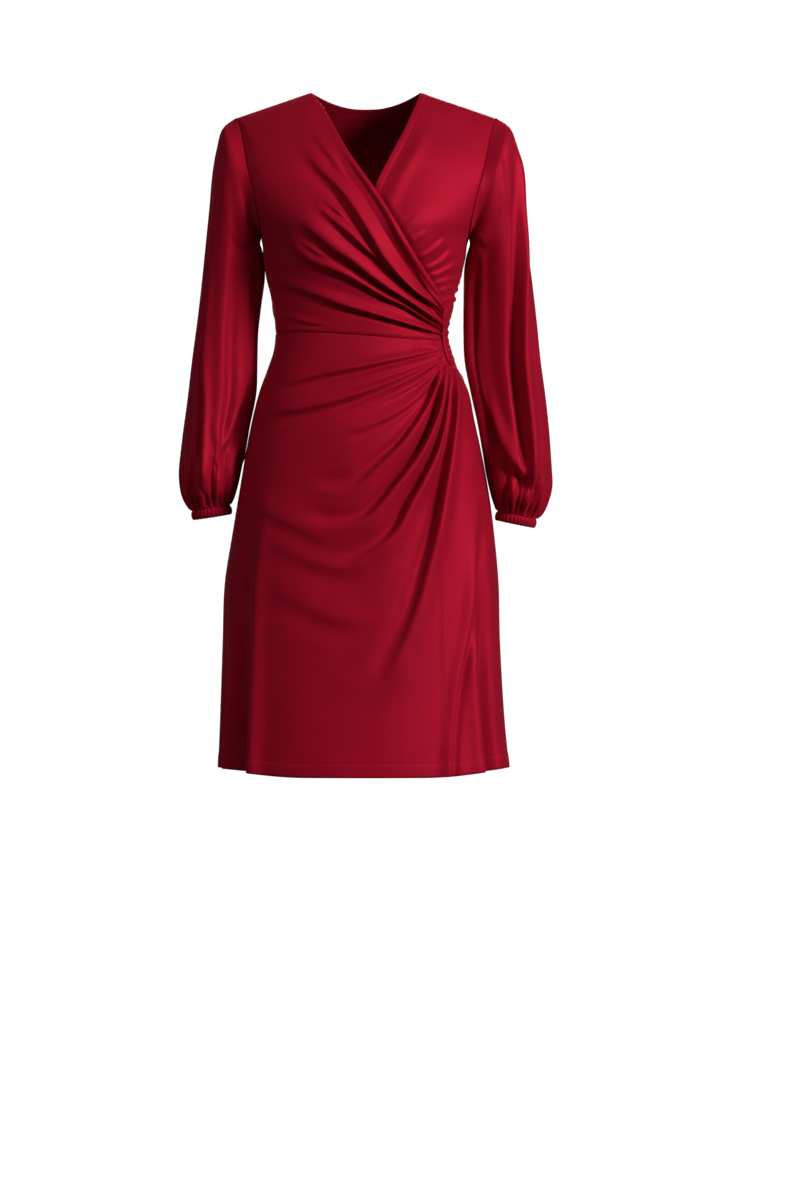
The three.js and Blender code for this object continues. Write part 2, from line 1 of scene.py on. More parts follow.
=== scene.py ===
"""Worn wrap dress in dark red jersey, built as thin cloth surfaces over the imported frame.

Shapes are worked out in millimetres in the frame's axes: +Z up, -Y the front, +X the wearer's left.
They become metres when a mesh is made. Fold lines are read as seen from the front, as x and z.
"""

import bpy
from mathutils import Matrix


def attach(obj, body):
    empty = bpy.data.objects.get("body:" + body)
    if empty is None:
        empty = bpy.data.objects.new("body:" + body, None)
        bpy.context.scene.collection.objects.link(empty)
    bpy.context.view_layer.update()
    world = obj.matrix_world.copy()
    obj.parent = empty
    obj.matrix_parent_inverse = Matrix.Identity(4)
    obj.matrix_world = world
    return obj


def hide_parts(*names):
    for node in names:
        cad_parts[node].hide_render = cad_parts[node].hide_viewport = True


bl_info = {
    "name": "Wrap dress",
    "version": (1, 0, 0),
    "blender": (4, 5, 0),
    "location": "View3D > Sidebar > Dress",
    "description": "A worn jersey wrap dress with a gathered side band and bishop sleeves",
    "category": "Object",
}

import bpy
import numpy as np
from bpy.props import FloatProperty, FloatVectorProperty, IntProperty, PointerProperty
from mathutils import Vector

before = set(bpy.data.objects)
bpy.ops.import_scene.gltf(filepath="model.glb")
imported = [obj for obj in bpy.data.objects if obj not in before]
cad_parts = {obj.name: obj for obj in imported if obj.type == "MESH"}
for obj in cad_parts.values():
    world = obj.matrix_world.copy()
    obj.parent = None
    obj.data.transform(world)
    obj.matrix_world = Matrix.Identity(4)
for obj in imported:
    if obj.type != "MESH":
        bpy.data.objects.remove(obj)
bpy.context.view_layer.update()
MM = 0.001
BODY = "root"

# Main sizes. Heights are measured from the neck ends of the shoulders, and are negative below them.
NECK_HALF_WIDTH = 82.9
SHOULDER_HALF_WIDTH = 193.5
SHOULDER_DROP = 38
BACK_NECK_DROP = 24
ARMPIT_Z = -222
ARMPIT_NARROWING = 3
WAIST_Z = -362
WAIST_DIP = 12
HEM_Z = -1012
HEM_FRONT_DIP = 12
SHOULDER_ROUNDING = 120
TORSO_EXPONENT = 2.25
BUST_X = 88
BUST_Z = -205
BUST_REACH = 52
BUST_HEIGHT = 11
OVERLAP_LIFT = 1.8
UNDERLAP_DROP = 2.4
ARMPIT_SHARE = 0.3
SHOULDER_SHARE = 0.8
CUFF_HEIGHT = 13
# Where the wrap's gathers meet the band, and the point of the band that the skirt's gathers turn round.
GATHERS_X = 112.0
GATHERS_TURN_X, GATHERS_TURN_Z = 128, -392
# Share of the thickness by which a border's middle line stands out, so that the border looks round.
RIM_OUTSET = 0.45
# Length that stands for no hemmed border nearby.
NO_HEM = 1000.0
# Stitches of the hems and ribs of the cuffs, in metres as the shader reads them.
STITCH_WIDTH = 0.0006
STITCH_ROW_GAP = 0.0032
STITCH_PITCH = 0.0028
CRIMP_PITCH = 0.0021

# The stage, in metres.
FLOOR_RADIUS = 3.2
BACKDROP_RADIUS = 18.0
LIGHT_TARGET = (0.0, 0.0, -0.5)
CAMERA_X, CAMERA_Z = 0.051, -0.762

# Torso sections: height, half width to the wearer's right and left, depth to front and back.
TORSO_SECTIONS = np.array([
    (10, 222, 222, 62, 60),
    (-50, 221, 221, 76, 78),
    (-114, 212, 212, 96, 90),
    (-156, 197, 196, 110, 94),
    (-195, 174, 173, 121, 95),
    (-222, 157, 154, 124, 95),
    (-250, 153.5, 149, 120, 93),
    (-282, 149, 141.5, 110, 90),
    (-306, 143, 134, 103, 87),
    (-342, 137, 126, 97, 84),
    (-366, 136, 123, 96, 84),
    (-390, 139, 129, 98, 88),
    (-414, 147, 137, 101, 94),
    (-450, 160, 154, 107, 104),
    (-489, 170, 162, 113, 115),
    (-540, 180, 173, 118, 123),
    (-600, 190, 184, 121, 127),
    (-660, 200, 192, 125, 129),
    (-738, 212, 199, 130, 131),
    (-822, 215, 201, 137, 134),
    (-942, 219, 208, 146, 141),
    (-1040, 223, 218, 153, 148),
], dtype=float)

# A fold: its height, its reach at the far end and at the held end, what is left of it at the held end,
# and its line from the far to the held end.
BODICE_FOLDS = [
    (9.5, 15, 3.4, 0.35, [(-99, -72), (-78, -106), (-60, -128), (-42, -147), (-26, -167), (-6, -196),
        (12, -223), (30, -249), (52, -274), (74, -296), (98, -316), (112, -331)]),
    (3.5, 6, 2.4, 0.35, [(30, -196), (58, -246), (87, -292), (111, -325)]),
    (7.5, 12, 3.2, 0.35, [(-78, -166), (-58, -189), (-42, -203), (-17, -223), (7, -243), (30, -263),
        (56, -285), (83, -307), (111, -337)]),
    (11.0, 14, 3.2, 0.35, [(-98, -192), (-80, -211), (-62, -225), (-42, -241), (-17, -256), (10, -276),
        (38, -296), (65, -314), (92, -334), (111, -350)]),
    (9.0, 12, 3.2, 0.35, [(-118, -222), (-100, -240), (-82, -254), (-57, -265), (-28, -276), (2, -292),
        (30, -309), (56, -321), (83, -338), (111, -357)]),
    (8.0, 12, 3.2, 0.35, [(-144, -281), (-117, -291), (-90, -300), (-62, -309), (-35, -320), (2, -331),
        (38, -342), (74, -353), (111, -366)]),
    (2.5, 8, 3.0, 0, [(-136, -330), (-108, -342), (-80, -350), (-40, -356)]),
    (2.5, 9, 5.0, 0, [(-84, -60), (-66, -84), (-40, -120), (-22, -146)]),
    (3.0, 6, 4.0, 0, [(-66, -166), (-48, -182), (-33, -194), (-12, -208)]),
    (2.5, 6, 4.0, 0, [(-96, -226), (-82, -238), (-62, -250), (-40, -258)]),
]

BACK_FOLDS = [
    (6.0, 12, 5, 0.3, [(-66, -258), (-10, -282), (40, -302), (84, -321), (126, -340)]),
    (5.0, 12, 5, 0.3, [(-36, -214), (20, -248), (62, -277), (98, -304), (130, -326)]),
    (5.5, 11, 5, 0.3, [(-90, -304), (-30, -321), (30, -333), (84, -345), (126, -354)]),
    (-4.5, 12, 6, 0.3, [(-10, -286), (-60, -310), (-100, -326), (-134, -338)]),
    (2.2, 18, 13, 0.2, [(58, -166), (92, -138), (122, -118), (152, -98)]),
    (-2.2, 18, 13, 0.2, [(-58, -172), (-92, -144), (-122, -122), (-152, -102)]),
]

UNDERLAP_FOLDS = [
    (1.5, 5, 3.0, 1, [(76, -198), (66, -204), (54, -212)]),
    (2.4, 5, 3.0, 1, [(92, -216), (78, -224), (62, -234)]),
    (3.4, 5, 3.0, 1, [(118, -226), (112, -231), (98, -243), (78, -256)]),
    (3.4, 5, 3.0, 1, [(130, -242), (121, -249), (109, -260), (88, -271)]),
    (3.2, 5, 3.0, 1, [(138, -258), (130, -263), (116, -272), (95, -282)]),
    (3.0, 4, 3.0, 1, [(142, -276), (136, -280), (121, -285), (102, -292)]),
    (2.8, 4, 2.6, 1, [(144, -290), (136, -292), (121, -297), (108, -303)]),
    (2.8, 4, 2.6, 1, [(140, -306), (132, -309), (122, -313), (112, -318)]),
    (4.0, 10, 8.0, 0.6, [(78, -12), (62, -58), (36, -106), (12, -152)]),
]

SKIRT_FOLDS = [
    (6.5, 11, 3.4, 0.35, [(-140, -444), (-98, -434), (-54, -424), (-12, -416), (30, -407), (72, -398),
        (112, -388)]),
    (8.5, 14, 3.4, 0.35, [(-153, -482), (-110, -479), (-54, -468), (-22, -459), (20, -444), (62, -426),
        (93, -410), (115, -397)]),
    (4.5, 10, 3.4, 0.35, [(-40, -516), (4, -504), (42, -486), (75, -462), (100, -430), (117, -402)]),
    (-8.0, 17, 3.0, 0.35, [(-92, -596), (-58, -603), (-12, -597), (12, -576),
        (40, -549), (58, -530), (79, -500), (96, -469), (108, -437), (117, -406)]),
    (-11.0, 17, 3.0, 0.35, [(-110, -640), (-72, -654), (-33, -656), (2, -645),
        (23, -626), (50, -593), (75, -559), (96, -521), (110, -483), (118, -444),
        (122, -411)]),
    (-11.0, 17, 3.0, 0.35, [(-62, -722), (-20, -712), (12, -694), (33, -679), (54, -654), (70, -622),
        (92, -580), (110, -538), (121, -492), (125, -441), (126, -414)]),
    (-12.0, 22, 3.4, 0.35, [(22, -905), (42, -866), (62, -822), (81, -772), (99, -703), (108, -668),
        (117, -616), (125, -563), (131, -509), (133, -458), (130, -419)]),
    (-7.0, 9, 8, 1, [(167, -600), (164, -665), (158, -725), (147, -809), (132, -892), (124, -975),
        (122, -1045)]),
    (2.2, 18, 14, 0, [(-162, -603), (-148, -625), (-100, -652), (-56, -674), (-10, -676)]),
    (2.6, 20, 16, 0, [(-156, -664), (-100, -694), (-63, -708), (-24, -714), (20, -700)]),
    (2.6, 22, 18, 0, [(-144, -732), (-99, -762), (-50, -786), (-6, -790), (40, -765)]),
    (3.0, 7, 3, 0.35, [(-60, -447), (-10, -437), (40, -422), (90, -404), (116, -393)]),
    (3.0, 7, 3, 0.35, [(10, -472), (58, -450), (88, -430), (116, -400)]),
    (-4.0, 8, 3, 0.35, [(66, -590), (88, -545), (103, -500), (113, -455), (120, -409)]),
]

SKIRT_BACK_FOLDS = [
    (6.0, 14, 5, 0.3, [(-90, -474), (-20, -450), (50, -424), (100, -400), (132, -384)]),
    (6.5, 14, 5, 0.3, [(-50, -580), (30, -520), (86, -462), (118, -414), (136, -390)]),
    (-7.0, 18, 8, 0.3, [(36, -800), (76, -680), (104, -570), (128, -474), (142, -410)]),
    (7.0, 12, 24, 1, [(-92, -600), (-100, -760), (-112, -900), (-120, -1045)]),
    (-6.0, 12, 22, 1, [(-28, -640), (-30, -760), (-36, -900), (-40, -1045)]),
    (6.0, 12, 22, 1, [(46, -700), (52, -800), (60, -920), (64, -1045)]),
    (-7.0, 12, 22, 1, [(112, -700), (118, -800), (126, -920), (134, -1045)]),
]

# Standing flutes: ring angle, spread, size at the hem, and the height where they start.
SKIRT_FLUTES = [
    (-47, 4.5, 11, -560), (-58, 6, -26, -590), (-69, 2.6, 6, -760), (-76, 3, -8, -700), (50, 5, 9, -560),
    (60, 5.5, -24, -600), (-116, 10, -12, -640), (-138, 11, 9, -620), (-160, 10, -10, -660),
    (178, 10, 8, -640), (158, 9, -11, -600), (137, 11, 9, -640), (115, 10, -11, -620),
]

# Sleeve rings: outer edge x and z, inner edge x and z, half depth.
SLEEVE_RINGS = {
    "right": [
        (-214, -54, -158.5, -229, 60), (-225, -90, -156, -236, 60), (-231, -126, -153.4, -246, 59),
        (-235, -172, -151.4, -262, 56), (-240, -222, -151.4, -284, 53), (-246, -282, -156, -318, 48),
        (-253, -342, -161, -360, 44), (-261, -402, -162.5, -402, 42), (-268, -462, -164.5, -452, 44),
        (-276, -522, -178, -512, 53), (-279, -558, -186, -552, 56), (-278, -582, -191, -578, 54),
        (-274, -604, -196, -598, 47), (-268, -618, -200, -611, 36), (-261, -629, -204, -620, 30),
    ],
    "left": [
        (216, -54, 155.5, -229, 60), (228, -90, 153.5, -236, 60), (234, -126, 150.5, -246, 59),
        (236, -172, 147.5, -262, 56), (241, -222, 146, -284, 53), (249, -282, 145.5, -318, 48),
        (256, -342, 145.5, -360, 44), (262, -402, 147.5, -402, 42), (270, -462, 157.5, -452, 44),
        (276, -522, 171, -512, 53), (278, -566, 180, -560, 56), (277, -592, 185.5, -586, 54),
        (271, -614, 190.5, -606, 47), (264, -630, 194.5, -620, 36), (255, -641, 197, -629, 30),
    ],
}

# Sleeve folds, written as the others, but with the line as turn round the sleeve in degrees and length
# down it in millimetres. Each is repeated on the back of the sleeve.
SLEEVE_DRAGS = [
    (8.5, 14, 12, 0.1, [(160, 70), (158, 150), (157, 220), (157, 290), (156, 340), (150, 385)]),
    (1.8, 10, 4, 0.3, [(70, 118), (100, 96), (128, 62), (152, 24)]),
]
SLEEVE_FOLDS = {
    "right": SLEEVE_DRAGS + [
        (9.5, 12, 8, 0.5, [(30, 60), (38, 200), (48, 280), (54, 346), (66, 400), (77, 453), (80, 490)]),
        (-8.0, 18, 12, 0.4, [(62, 20), (74, 150), (84, 250), (92, 340), (100, 420)]),
        (-8.0, 12, 10, 0.1, [(132, 60), (140, 160), (145, 241), (140, 300), (124, 360), (98, 420)]),
    ],
    "left": SLEEVE_DRAGS + [
        (-15.0, 15, 9, 0.5, [(18, 40), (20, 100), (31, 184), (50, 256), (60, 338), (65, 425), (68, 500)]),
        (-10.0, 12, 9, 0.2, [(120, 60), (132, 150), (140, 225), (142, 296), (130, 348), (109, 400),
            (85, 458), (58, 512)]),
    ],
}
# Millimetres that a degree of turn counts for in the sleeve folds.
DEGREE_OF_SLEEVE = 0.9
SIDES = (("right", -1), ("left", 1))

# Outlines seen from the front.
WRAP_EDGE = [(-NECK_HALF_WIDTH, 0), (-58, -38), (-28, -93), (11, -150), (32, -182), (63, -234), (89, -276),
             (106, -302), (113.5, -325)]
BAND_LEFT_EDGE = [(113.5, -324), (112.5, -345), (114, -380), (119, -400), (126, -414)]
RIGHT_ARMHOLE = [(-157, ARMPIT_Z), (-158, -208), (-166, -162), (-177, -116), (-187, -62),
                 (-SHOULDER_HALF_WIDTH, -SHOULDER_DROP)]
UNDERLAP_EDGE = [(-62, -366), (-24, -258), (15, -150), (45, -90), (70, -36), (NECK_HALF_WIDTH, 0)]


def mix(a, b, t):
    """Straight blend from a at t 0 to b at t 1."""
    return a + (b - a) * t


def smoothstep(low, high, value):
    """Cubic ease from 0 at low to 1 at high."""
    t = np.clip((value - low) / (high - low), 0, 1)
    return t * t * (3 - 2 * t)


def bell(value, spread):
    """Smooth bump: 1 at 0, falling away over the spread."""
    return np.exp(-((value / spread) ** 2))


def pair(first, second):
    """Two arrays joined as the last axis of one."""
    return np.stack(np.broadcast_arrays(first, second), axis=-1)


def running(steps):
    """Running total of steps, starting at 0."""
    return np.concatenate([[0], np.cumsum(steps)])


def hermite(first, second, start, end, t):
    """Cubic Hermite blend from first to second, leaving and arriving with the slopes start and end."""
    ease = 3 * t**2 - 2 * t**3
    return mix(first, second, ease) + (t**3 - 2 * t**2 + t) * start + (t**3 - t**2) * end


def torso_size(column, z):
    """Cubic Hermite reading of a torso column at height z, its slopes taken between neighbouring rows."""
    heights = -TORSO_SECTIONS[:, 0]
    values = TORSO_SECTIONS[:, column]
    slopes = np.empty_like(values)
    slopes[1:-1] = (values[2:] - values[:-2]) / (heights[2:] - heights[:-2])
    slopes[0] = (values[1] - values[0]) / (heights[1] - heights[0])
    slopes[-1] = (values[-1] - values[-2]) / (heights[-1] - heights[-2])
    depth = np.clip(-np.asarray(z, dtype=float), heights[0], heights[-1])
    i = np.clip(np.searchsorted(heights, depth, side="right") - 1, 0, len(heights) - 2)
    span = heights[i + 1] - heights[i]
    return hermite(values[i], values[i + 1], span * slopes[i], span * slopes[i + 1],
                   (depth - heights[i]) / span)


def shoulder_z(x):
    """Height of the shoulder seam, level at the neck and dropping evenly to the shoulder tip."""
    beyond = np.maximum(0, np.abs(x) - NECK_HALF_WIDTH)
    return -SHOULDER_DROP * beyond / (SHOULDER_HALF_WIDTH - NECK_HALF_WIDTH)


def ring_point(angle, z):
    """Point of the body ring: a superellipse per half, rounded in to the shoulder seam near the top, with
    a bell on each side of the front for the bust."""
    angle, z = np.broadcast_arrays(np.asarray(angle, dtype=float), np.asarray(z, dtype=float))
    across = np.sin(np.radians(angle))
    along = np.cos(np.radians(angle))
    width = np.where(across < 0, torso_size(1, z), torso_size(2, z))
    depth = np.where(along > 0, torso_size(3, z), torso_size(4, z))
    power = 2 / TORSO_EXPONENT
    x = np.sign(across) * width * np.abs(across) ** power
    y = -np.sign(along) * depth * np.abs(along) ** power
    bust = bell(np.abs(x) - BUST_X, BUST_REACH) * bell(z - BUST_Z, BUST_REACH)
    y = y - BUST_HEIGHT * np.where(along > 0, bust * smoothstep(0, 0.3, along), 0)
    below = np.maximum(0, shoulder_z(x) - z)
    rise = np.maximum(0, 1 - below / SHOULDER_ROUNDING)
    return np.stack([x, y * np.sqrt(np.maximum(0, 1 - rise**2)) ** 1.15, z], axis=-1)


def front_angle(x, z):
    """Ring angle of a point seen from the front: the superellipse's inverse."""
    width = np.where(x < 0, torso_size(1, z), torso_size(2, z))
    share = np.minimum(1, np.abs(x) / width) ** (TORSO_EXPONENT / 2)
    return np.sign(x) * np.degrees(np.arcsin(share))


def spline(control, count, even=False):
    """Centripetal Catmull-Rom line through control points along the last axis but one, count + 1 points.

    With even set, the points lie at equal steps of length along the line.
    """
    control = np.asarray(control, dtype=float)
    first = 2 * control[..., :1, :] - control[..., 1:2, :]
    last = 2 * control[..., -1:, :] - control[..., -2:-1, :]
    padded = np.concatenate([first, control, last], axis=-2)
    gaps = np.sqrt(np.linalg.norm(np.diff(padded, axis=-2), axis=-1, keepdims=True)) + 1e-9
    pieces = control.shape[-2] - 1
    fine = 16 * count if even else count
    place = np.linspace(0, pieces, fine + 1)
    i = np.minimum(place.astype(int), pieces - 1)
    t = (place - i)[:, None]
    p0, p1, p2, p3 = (padded[..., i + k, :] for k in range(4))
    g0, g1, g2 = (gaps[..., i + k, :] for k in range(3))
    start = g1 * ((p1 - p0) / g0 - (p2 - p0) / (g0 + g1) + (p2 - p1) / g1)
    end = g1 * ((p2 - p1) / g1 - (p3 - p1) / (g1 + g2) + (p3 - p2) / g2)
    line = hermite(p1, p2, start, end, t)
    if not even:
        return line
    travelled = running(np.linalg.norm(np.diff(line, axis=0), axis=-1))
    return read_line(line, travelled, np.linspace(0, travelled[-1], count + 1))


def read_line(line, place, wanted):
    """Points of a line at the wanted values of its rising place."""
    return np.stack([np.interp(wanted, place, values) for values in line.T], axis=-1)


def at_share(line, share):
    """Point at a share, 0 to 1, of an evenly spaced line."""
    return read_line(line, np.linspace(0, 1, len(line)), share)


wrap_edge = spline(WRAP_EDGE, 160, even=True)
band_edge = spline(BAND_LEFT_EDGE, 64)
armhole = spline(RIGHT_ARMHOLE, 120, even=True)
underlap_edge = spline(UNDERLAP_EDGE, 160, even=True)


def measure_fold(line, x, z):
    """Signed distance to a fold line, positive above or right of it, the share of the way along it, and
    the unit direction from the line's nearest point, all as arrays shaped like x."""
    best = np.full(x.shape, np.inf)
    signed = np.zeros(x.shape)
    share = np.zeros(x.shape)
    away = np.zeros(x.shape + (2,))
    pieces = len(line) - 1
    for k, (a, b) in enumerate(zip(line[:-1], line[1:])):
        run = b - a
        t = np.clip(((x - a[0]) * run[0] + (z - a[1]) * run[1]) / (run @ run), 0, 1)
        off_x = x - a[0] - t * run[0]
        off_z = z - a[1] - t * run[1]
        reach = np.hypot(off_x, off_z)
        side = np.where(run[0] * off_z - run[1] * off_x < 0, -1.0, 1.0)
        nearer = reach < best
        best = np.where(nearer, reach, best)
        signed = np.where(nearer, side * reach, signed)
        share = np.where(nearer, (k + t) / pieces, share)
        across = np.array([-run[1], run[0]]) / np.hypot(*run)
        away = np.where(nearer[..., None], across, away)
    return signed, share, away


def fold_field(folds, x, z):
    """Height and sideways lean of the cloth at x, z.

    Each fold is a ridge, a bell of its signed distance that is wide above and steep below, with a
    shallower bell close under it for the crease. It starts low and wide at its far end, and grows high
    and narrow to its held end, where the given share of it is left. With no share left it fades out at
    both ends. A negative height turns the steep side to the other side of the line. The lean moves the
    ridge over its steep side by a share of its height.
    """
    strength = settings().fold_strength
    height = np.zeros(x.shape)
    lean = np.zeros(x.shape + (2,))
    for size, far_width, held_width, end, path in folds:
        line = spline(path, 30)
        distance, share, away = measure_fold(line, x, z)
        side = np.sign(size)
        distance, away, size = side * distance, side * away, abs(size)
        width = mix(far_width, held_width, share**0.8)
        power = strength * size * mix(1, end, smoothstep(mix(0.45, 0.88, end > 0), 1, share))
        power = power * (0.35 * smoothstep(0, 0.15, share) + 0.65 * smoothstep(0.05, 0.6, share))
        ridge = power * np.where(distance > 0, bell(distance, 1.25 * width), bell(distance, 0.5 * width))
        crease = 0.75 * power * bell(distance + 1.2 * width, 0.8 * width)
        height += ridge - crease
        lean -= (0.4 * ridge)[..., None] * away
    return height, lean


def coons_patch(bottom, top, left, right, u, v):
    """Surface between four edges in ring coordinates: ruled both ways, less the corners' bilinear blend."""
    corner = bottom(np.array(0.0)), bottom(np.array(1.0)), top(np.array(0.0)), top(np.array(1.0))
    u3, v3 = u[..., None], v[..., None]
    ruled = mix(bottom(u), top(u), v3) + mix(left(v), right(v), u3)
    return ruled - mix(mix(corner[0], corner[1], u3), mix(corner[2], corner[3], u3), v3)


def ring_coordinates(points):
    """Angle and height on the body ring of points seen from the front."""
    x, z = points[..., 0], points[..., 1]
    return pair(front_angle(x, z), z)


def armhole_outline(side, share):
    """The armhole seen from the front, from the armpit up to the shoulder tip."""
    point = at_share(armhole, share)
    narrowing = ARMPIT_NARROWING * smoothstep(-130, ARMPIT_Z, point[..., 1]) if side > 0 else 0
    return pair(side * (-point[..., 0] - narrowing), point[..., 1])


def waist_z(x):
    """Height of the waist seam, which dips towards the side band."""
    return WAIST_Z - WAIST_DIP * smoothstep(-125, 105, x)


def waist_line(angle):
    """The waist seam in ring coordinates, at ring angles."""
    return pair(angle, waist_z(ring_point(angle, WAIST_Z)[..., 0]))


def body_edge(side, share):
    """Edge of a front panel on the body: side seam, armhole, then the shoulder seam to the neck."""
    seam_z = mix(waist_z(np.array(130.0 * side)), ARMPIT_Z, share / ARMPIT_SHARE)
    seam = pair(90.0 * side, seam_z)
    hole_share = np.clip((share - ARMPIT_SHARE) / (SHOULDER_SHARE - ARMPIT_SHARE), 0, 1)
    hole = ring_coordinates(armhole_outline(side, hole_share))
    x = side * mix(SHOULDER_HALF_WIDTH, NECK_HALF_WIDTH, (share - SHOULDER_SHARE) / (1 - SHOULDER_SHARE))
    shoulder = ring_coordinates(pair(x, shoulder_z(x)))
    low = (share <= ARMPIT_SHARE)[..., None]
    high = (share >= SHOULDER_SHARE)[..., None]
    return np.where(low, seam, np.where(high, shoulder, hole))


def behind(edge):
    """The same outline on the back: the ring angle mirrored through the side seams."""
    return pair(180 - edge[..., 0], edge[..., 1])


def grid_of(columns, rows):
    """u and v from 0 to 1 on a grid of columns + 1 by rows + 1."""
    return np.meshgrid(np.linspace(0, 1, columns + 1), np.linspace(0, 1, rows + 1), indexing="ij")


def surface_normals(points, closed=False):
    """Unit normals of a point grid: the cross product of its two central differences."""
    if closed:
        across = np.roll(points, -1, axis=0) - np.roll(points, 1, axis=0)
    else:
        across = np.gradient(points, axis=0)
    up = np.gradient(points, axis=1)
    normal = np.cross(across, up)
    return normal / (np.linalg.norm(normal, axis=-1, keepdims=True) + 1e-12)


def raised(points, height, closed=False):
    """Grid moved out by height along its normals."""
    return points + surface_normals(points, closed) * height[..., None]


def leaned(points, height, lean):
    """Open grid moved out by height along its normals, and along the surface by the lean seen from the
    front."""
    normals = surface_normals(points)
    drift = np.stack([lean[..., 0], np.zeros_like(height), lean[..., 1]], axis=-1)
    drift -= np.sum(drift * normals, axis=-1, keepdims=True) * normals
    return points + normals * height[..., None] + drift


def border_loops(columns, rows, closed):
    """Grid indices round each open border, turning the way that keeps the cloth on the left."""
    if closed:
        around = np.arange(columns)
        return [np.stack([around, np.zeros_like(around)], 1),
                np.stack([around[::-1], np.full_like(around, rows - 1)], 1)]
    across = np.arange(columns - 1)
    up = np.arange(rows - 1)
    return [np.concatenate([
        np.stack([across, np.zeros_like(across)], 1),
        np.stack([np.full_like(up, columns - 1), up], 1),
        np.stack([columns - 1 - across, np.full_like(across, rows - 1)], 1),
        np.stack([np.zeros_like(up), rows - 1 - up], 1),
    ])]


def cloth_object(name, outer, thickness, closed=False, stitched=None):
    """Thin closed cloth wall from its outer grid: the inner grid lies one thickness inside along the
    normals, and each border is rounded by a middle line set half a thickness out of the cloth.

    The cloth map holds lengths along the grid. The stitching map holds the length along a hemmed border
    and the distance from it.
    """
    columns, rows = outer.shape[:2]
    inner = outer - thickness * surface_normals(outer, closed)
    index = np.arange(columns * rows).reshape(columns, rows)
    here = index if closed else index[:-1]
    after = np.roll(index, -1, axis=0) if closed else index[1:]
    sheet = np.stack([here[:, :-1], after[:, :-1], after[:, 1:], here[:, 1:]], -1).reshape(-1, 4)
    count = columns * rows
    faces = [sheet, sheet[:, ::-1] + count]
    points = [outer.reshape(-1, 3), inner.reshape(-1, 3)]
    along_u = running(np.linalg.norm(np.diff(outer[:, rows // 2], axis=0), axis=-1))
    along_v = running(np.linalg.norm(np.diff(outer, axis=1), axis=-1).mean(axis=0))
    maps = np.empty((columns, rows, 4))
    maps[..., :2] = np.stack(np.meshgrid(along_u, along_v, indexing="ij"), -1)
    maps[..., 2:] = NO_HEM if stitched is None else np.stack(stitched, -1)
    maps = maps.reshape(-1, 4)
    girth = along_u[-1] + np.linalg.norm(outer[0, rows // 2] - outer[-1, rows // 2]) if closed else np.inf
    map_parts = [maps, maps]
    total = 2 * count
    for loop in border_loops(columns, rows, closed):
        i, j = loop[:, 0], loop[:, 1]
        inside_i = i if closed else np.clip(i, 1, columns - 2)
        inside_j = np.clip(j, 1, rows - 2)
        outward = outer[i, j] - outer[inside_i, inside_j]
        outward /= np.linalg.norm(outward, axis=-1, keepdims=True) + 1e-12
        points.append((outer[i, j] + inner[i, j]) / 2 + outward * thickness * RIM_OUTSET)
        map_parts.append(maps[index[i, j]])
        rim = index[i, j]
        middle = total + np.arange(len(loop))
        rim_after, middle_after = np.roll(rim, -1), np.roll(middle, -1)
        faces.append(np.stack([rim, middle, middle_after, rim_after], -1))
        faces.append(np.stack([middle, rim + count, rim_after + count, middle_after], -1))
        total += len(loop)
    return mesh_object(name, np.concatenate(points) * MM, np.concatenate(faces),
                       np.concatenate(map_parts) * MM, girth * MM)


def mesh_object(name, points, faces, maps, girth):
    """Mesh from arrays of points, quads and two UV pairs per point, smooth shaded, at the origin.

    On a closed piece the cloth map runs on past the girth in the quads that close it.
    """
    mesh = bpy.data.meshes.new(name)
    mesh.vertices.add(len(points))
    mesh.vertices.foreach_set("co", points.astype(np.float32).ravel())
    mesh.loops.add(faces.size)
    mesh.loops.foreach_set("vertex_index", faces.astype(np.int32).ravel())
    mesh.polygons.add(len(faces))
    mesh.polygons.foreach_set("loop_start", np.arange(0, faces.size, 4, dtype=np.int32))
    mesh.update(calc_edges=True)
    mesh.shade_smooth()
    corners = maps[faces]
    for column in (0, 2):
        along = corners[..., column]
        wrapped = along.max(axis=1, keepdims=True) - along > girth / 2
        corners[..., column] = np.where(wrapped, along + girth, along)
    for layer_name, first in (("cloth", 0), ("stitching", 2)):
        layer = mesh.uv_layers.new(name=layer_name)
        layer.data.foreach_set("uv", corners[..., first:first + 2].astype(np.float32).ravel())
    piece = bpy.data.objects.new(name, mesh)
    bpy.context.scene.collection.objects.link(piece)
    return piece


def along_grid(points, axis):
    """Length along one axis of a grid, from its first border."""
    steps = np.linalg.norm(np.diff(points, axis=axis), axis=-1)
    pad = [(0, 0), (0, 0)]
    pad[axis] = (1, 0)
    return np.cumsum(np.pad(steps, pad), axis=axis)


def edge_distances(points):
    """Length along the cloth from each point to the u 0, u 1, v 0 and v 1 borders of its grid."""
    from_left, from_low = along_grid(points, 0), along_grid(points, 1)
    return from_left, from_left[-1:] - from_left, from_low, from_low[:, -1:] - from_low


def seam_dip(distance):
    """The cloth turns in a little over its last few millimetres, where it is sewn."""
    return -1.1 * bell(distance, 2.2)


def clear_of_seams(to_left, to_right, to_waist):
    """0 on the side and waist seams, easing to 1 beside them."""
    return smoothstep(0, 26, to_left) * smoothstep(0, 26, to_right) * smoothstep(0, 6, to_waist)


def soft_floor(height, floor):
    """Height held smoothly above a floor, so that troughs don't press through the cloth below."""
    return floor + np.logaddexp(0, 1.6 * (height - floor)) / 1.6


def settings():
    """The dress settings of the scene."""
    return bpy.context.scene.wrap_dress


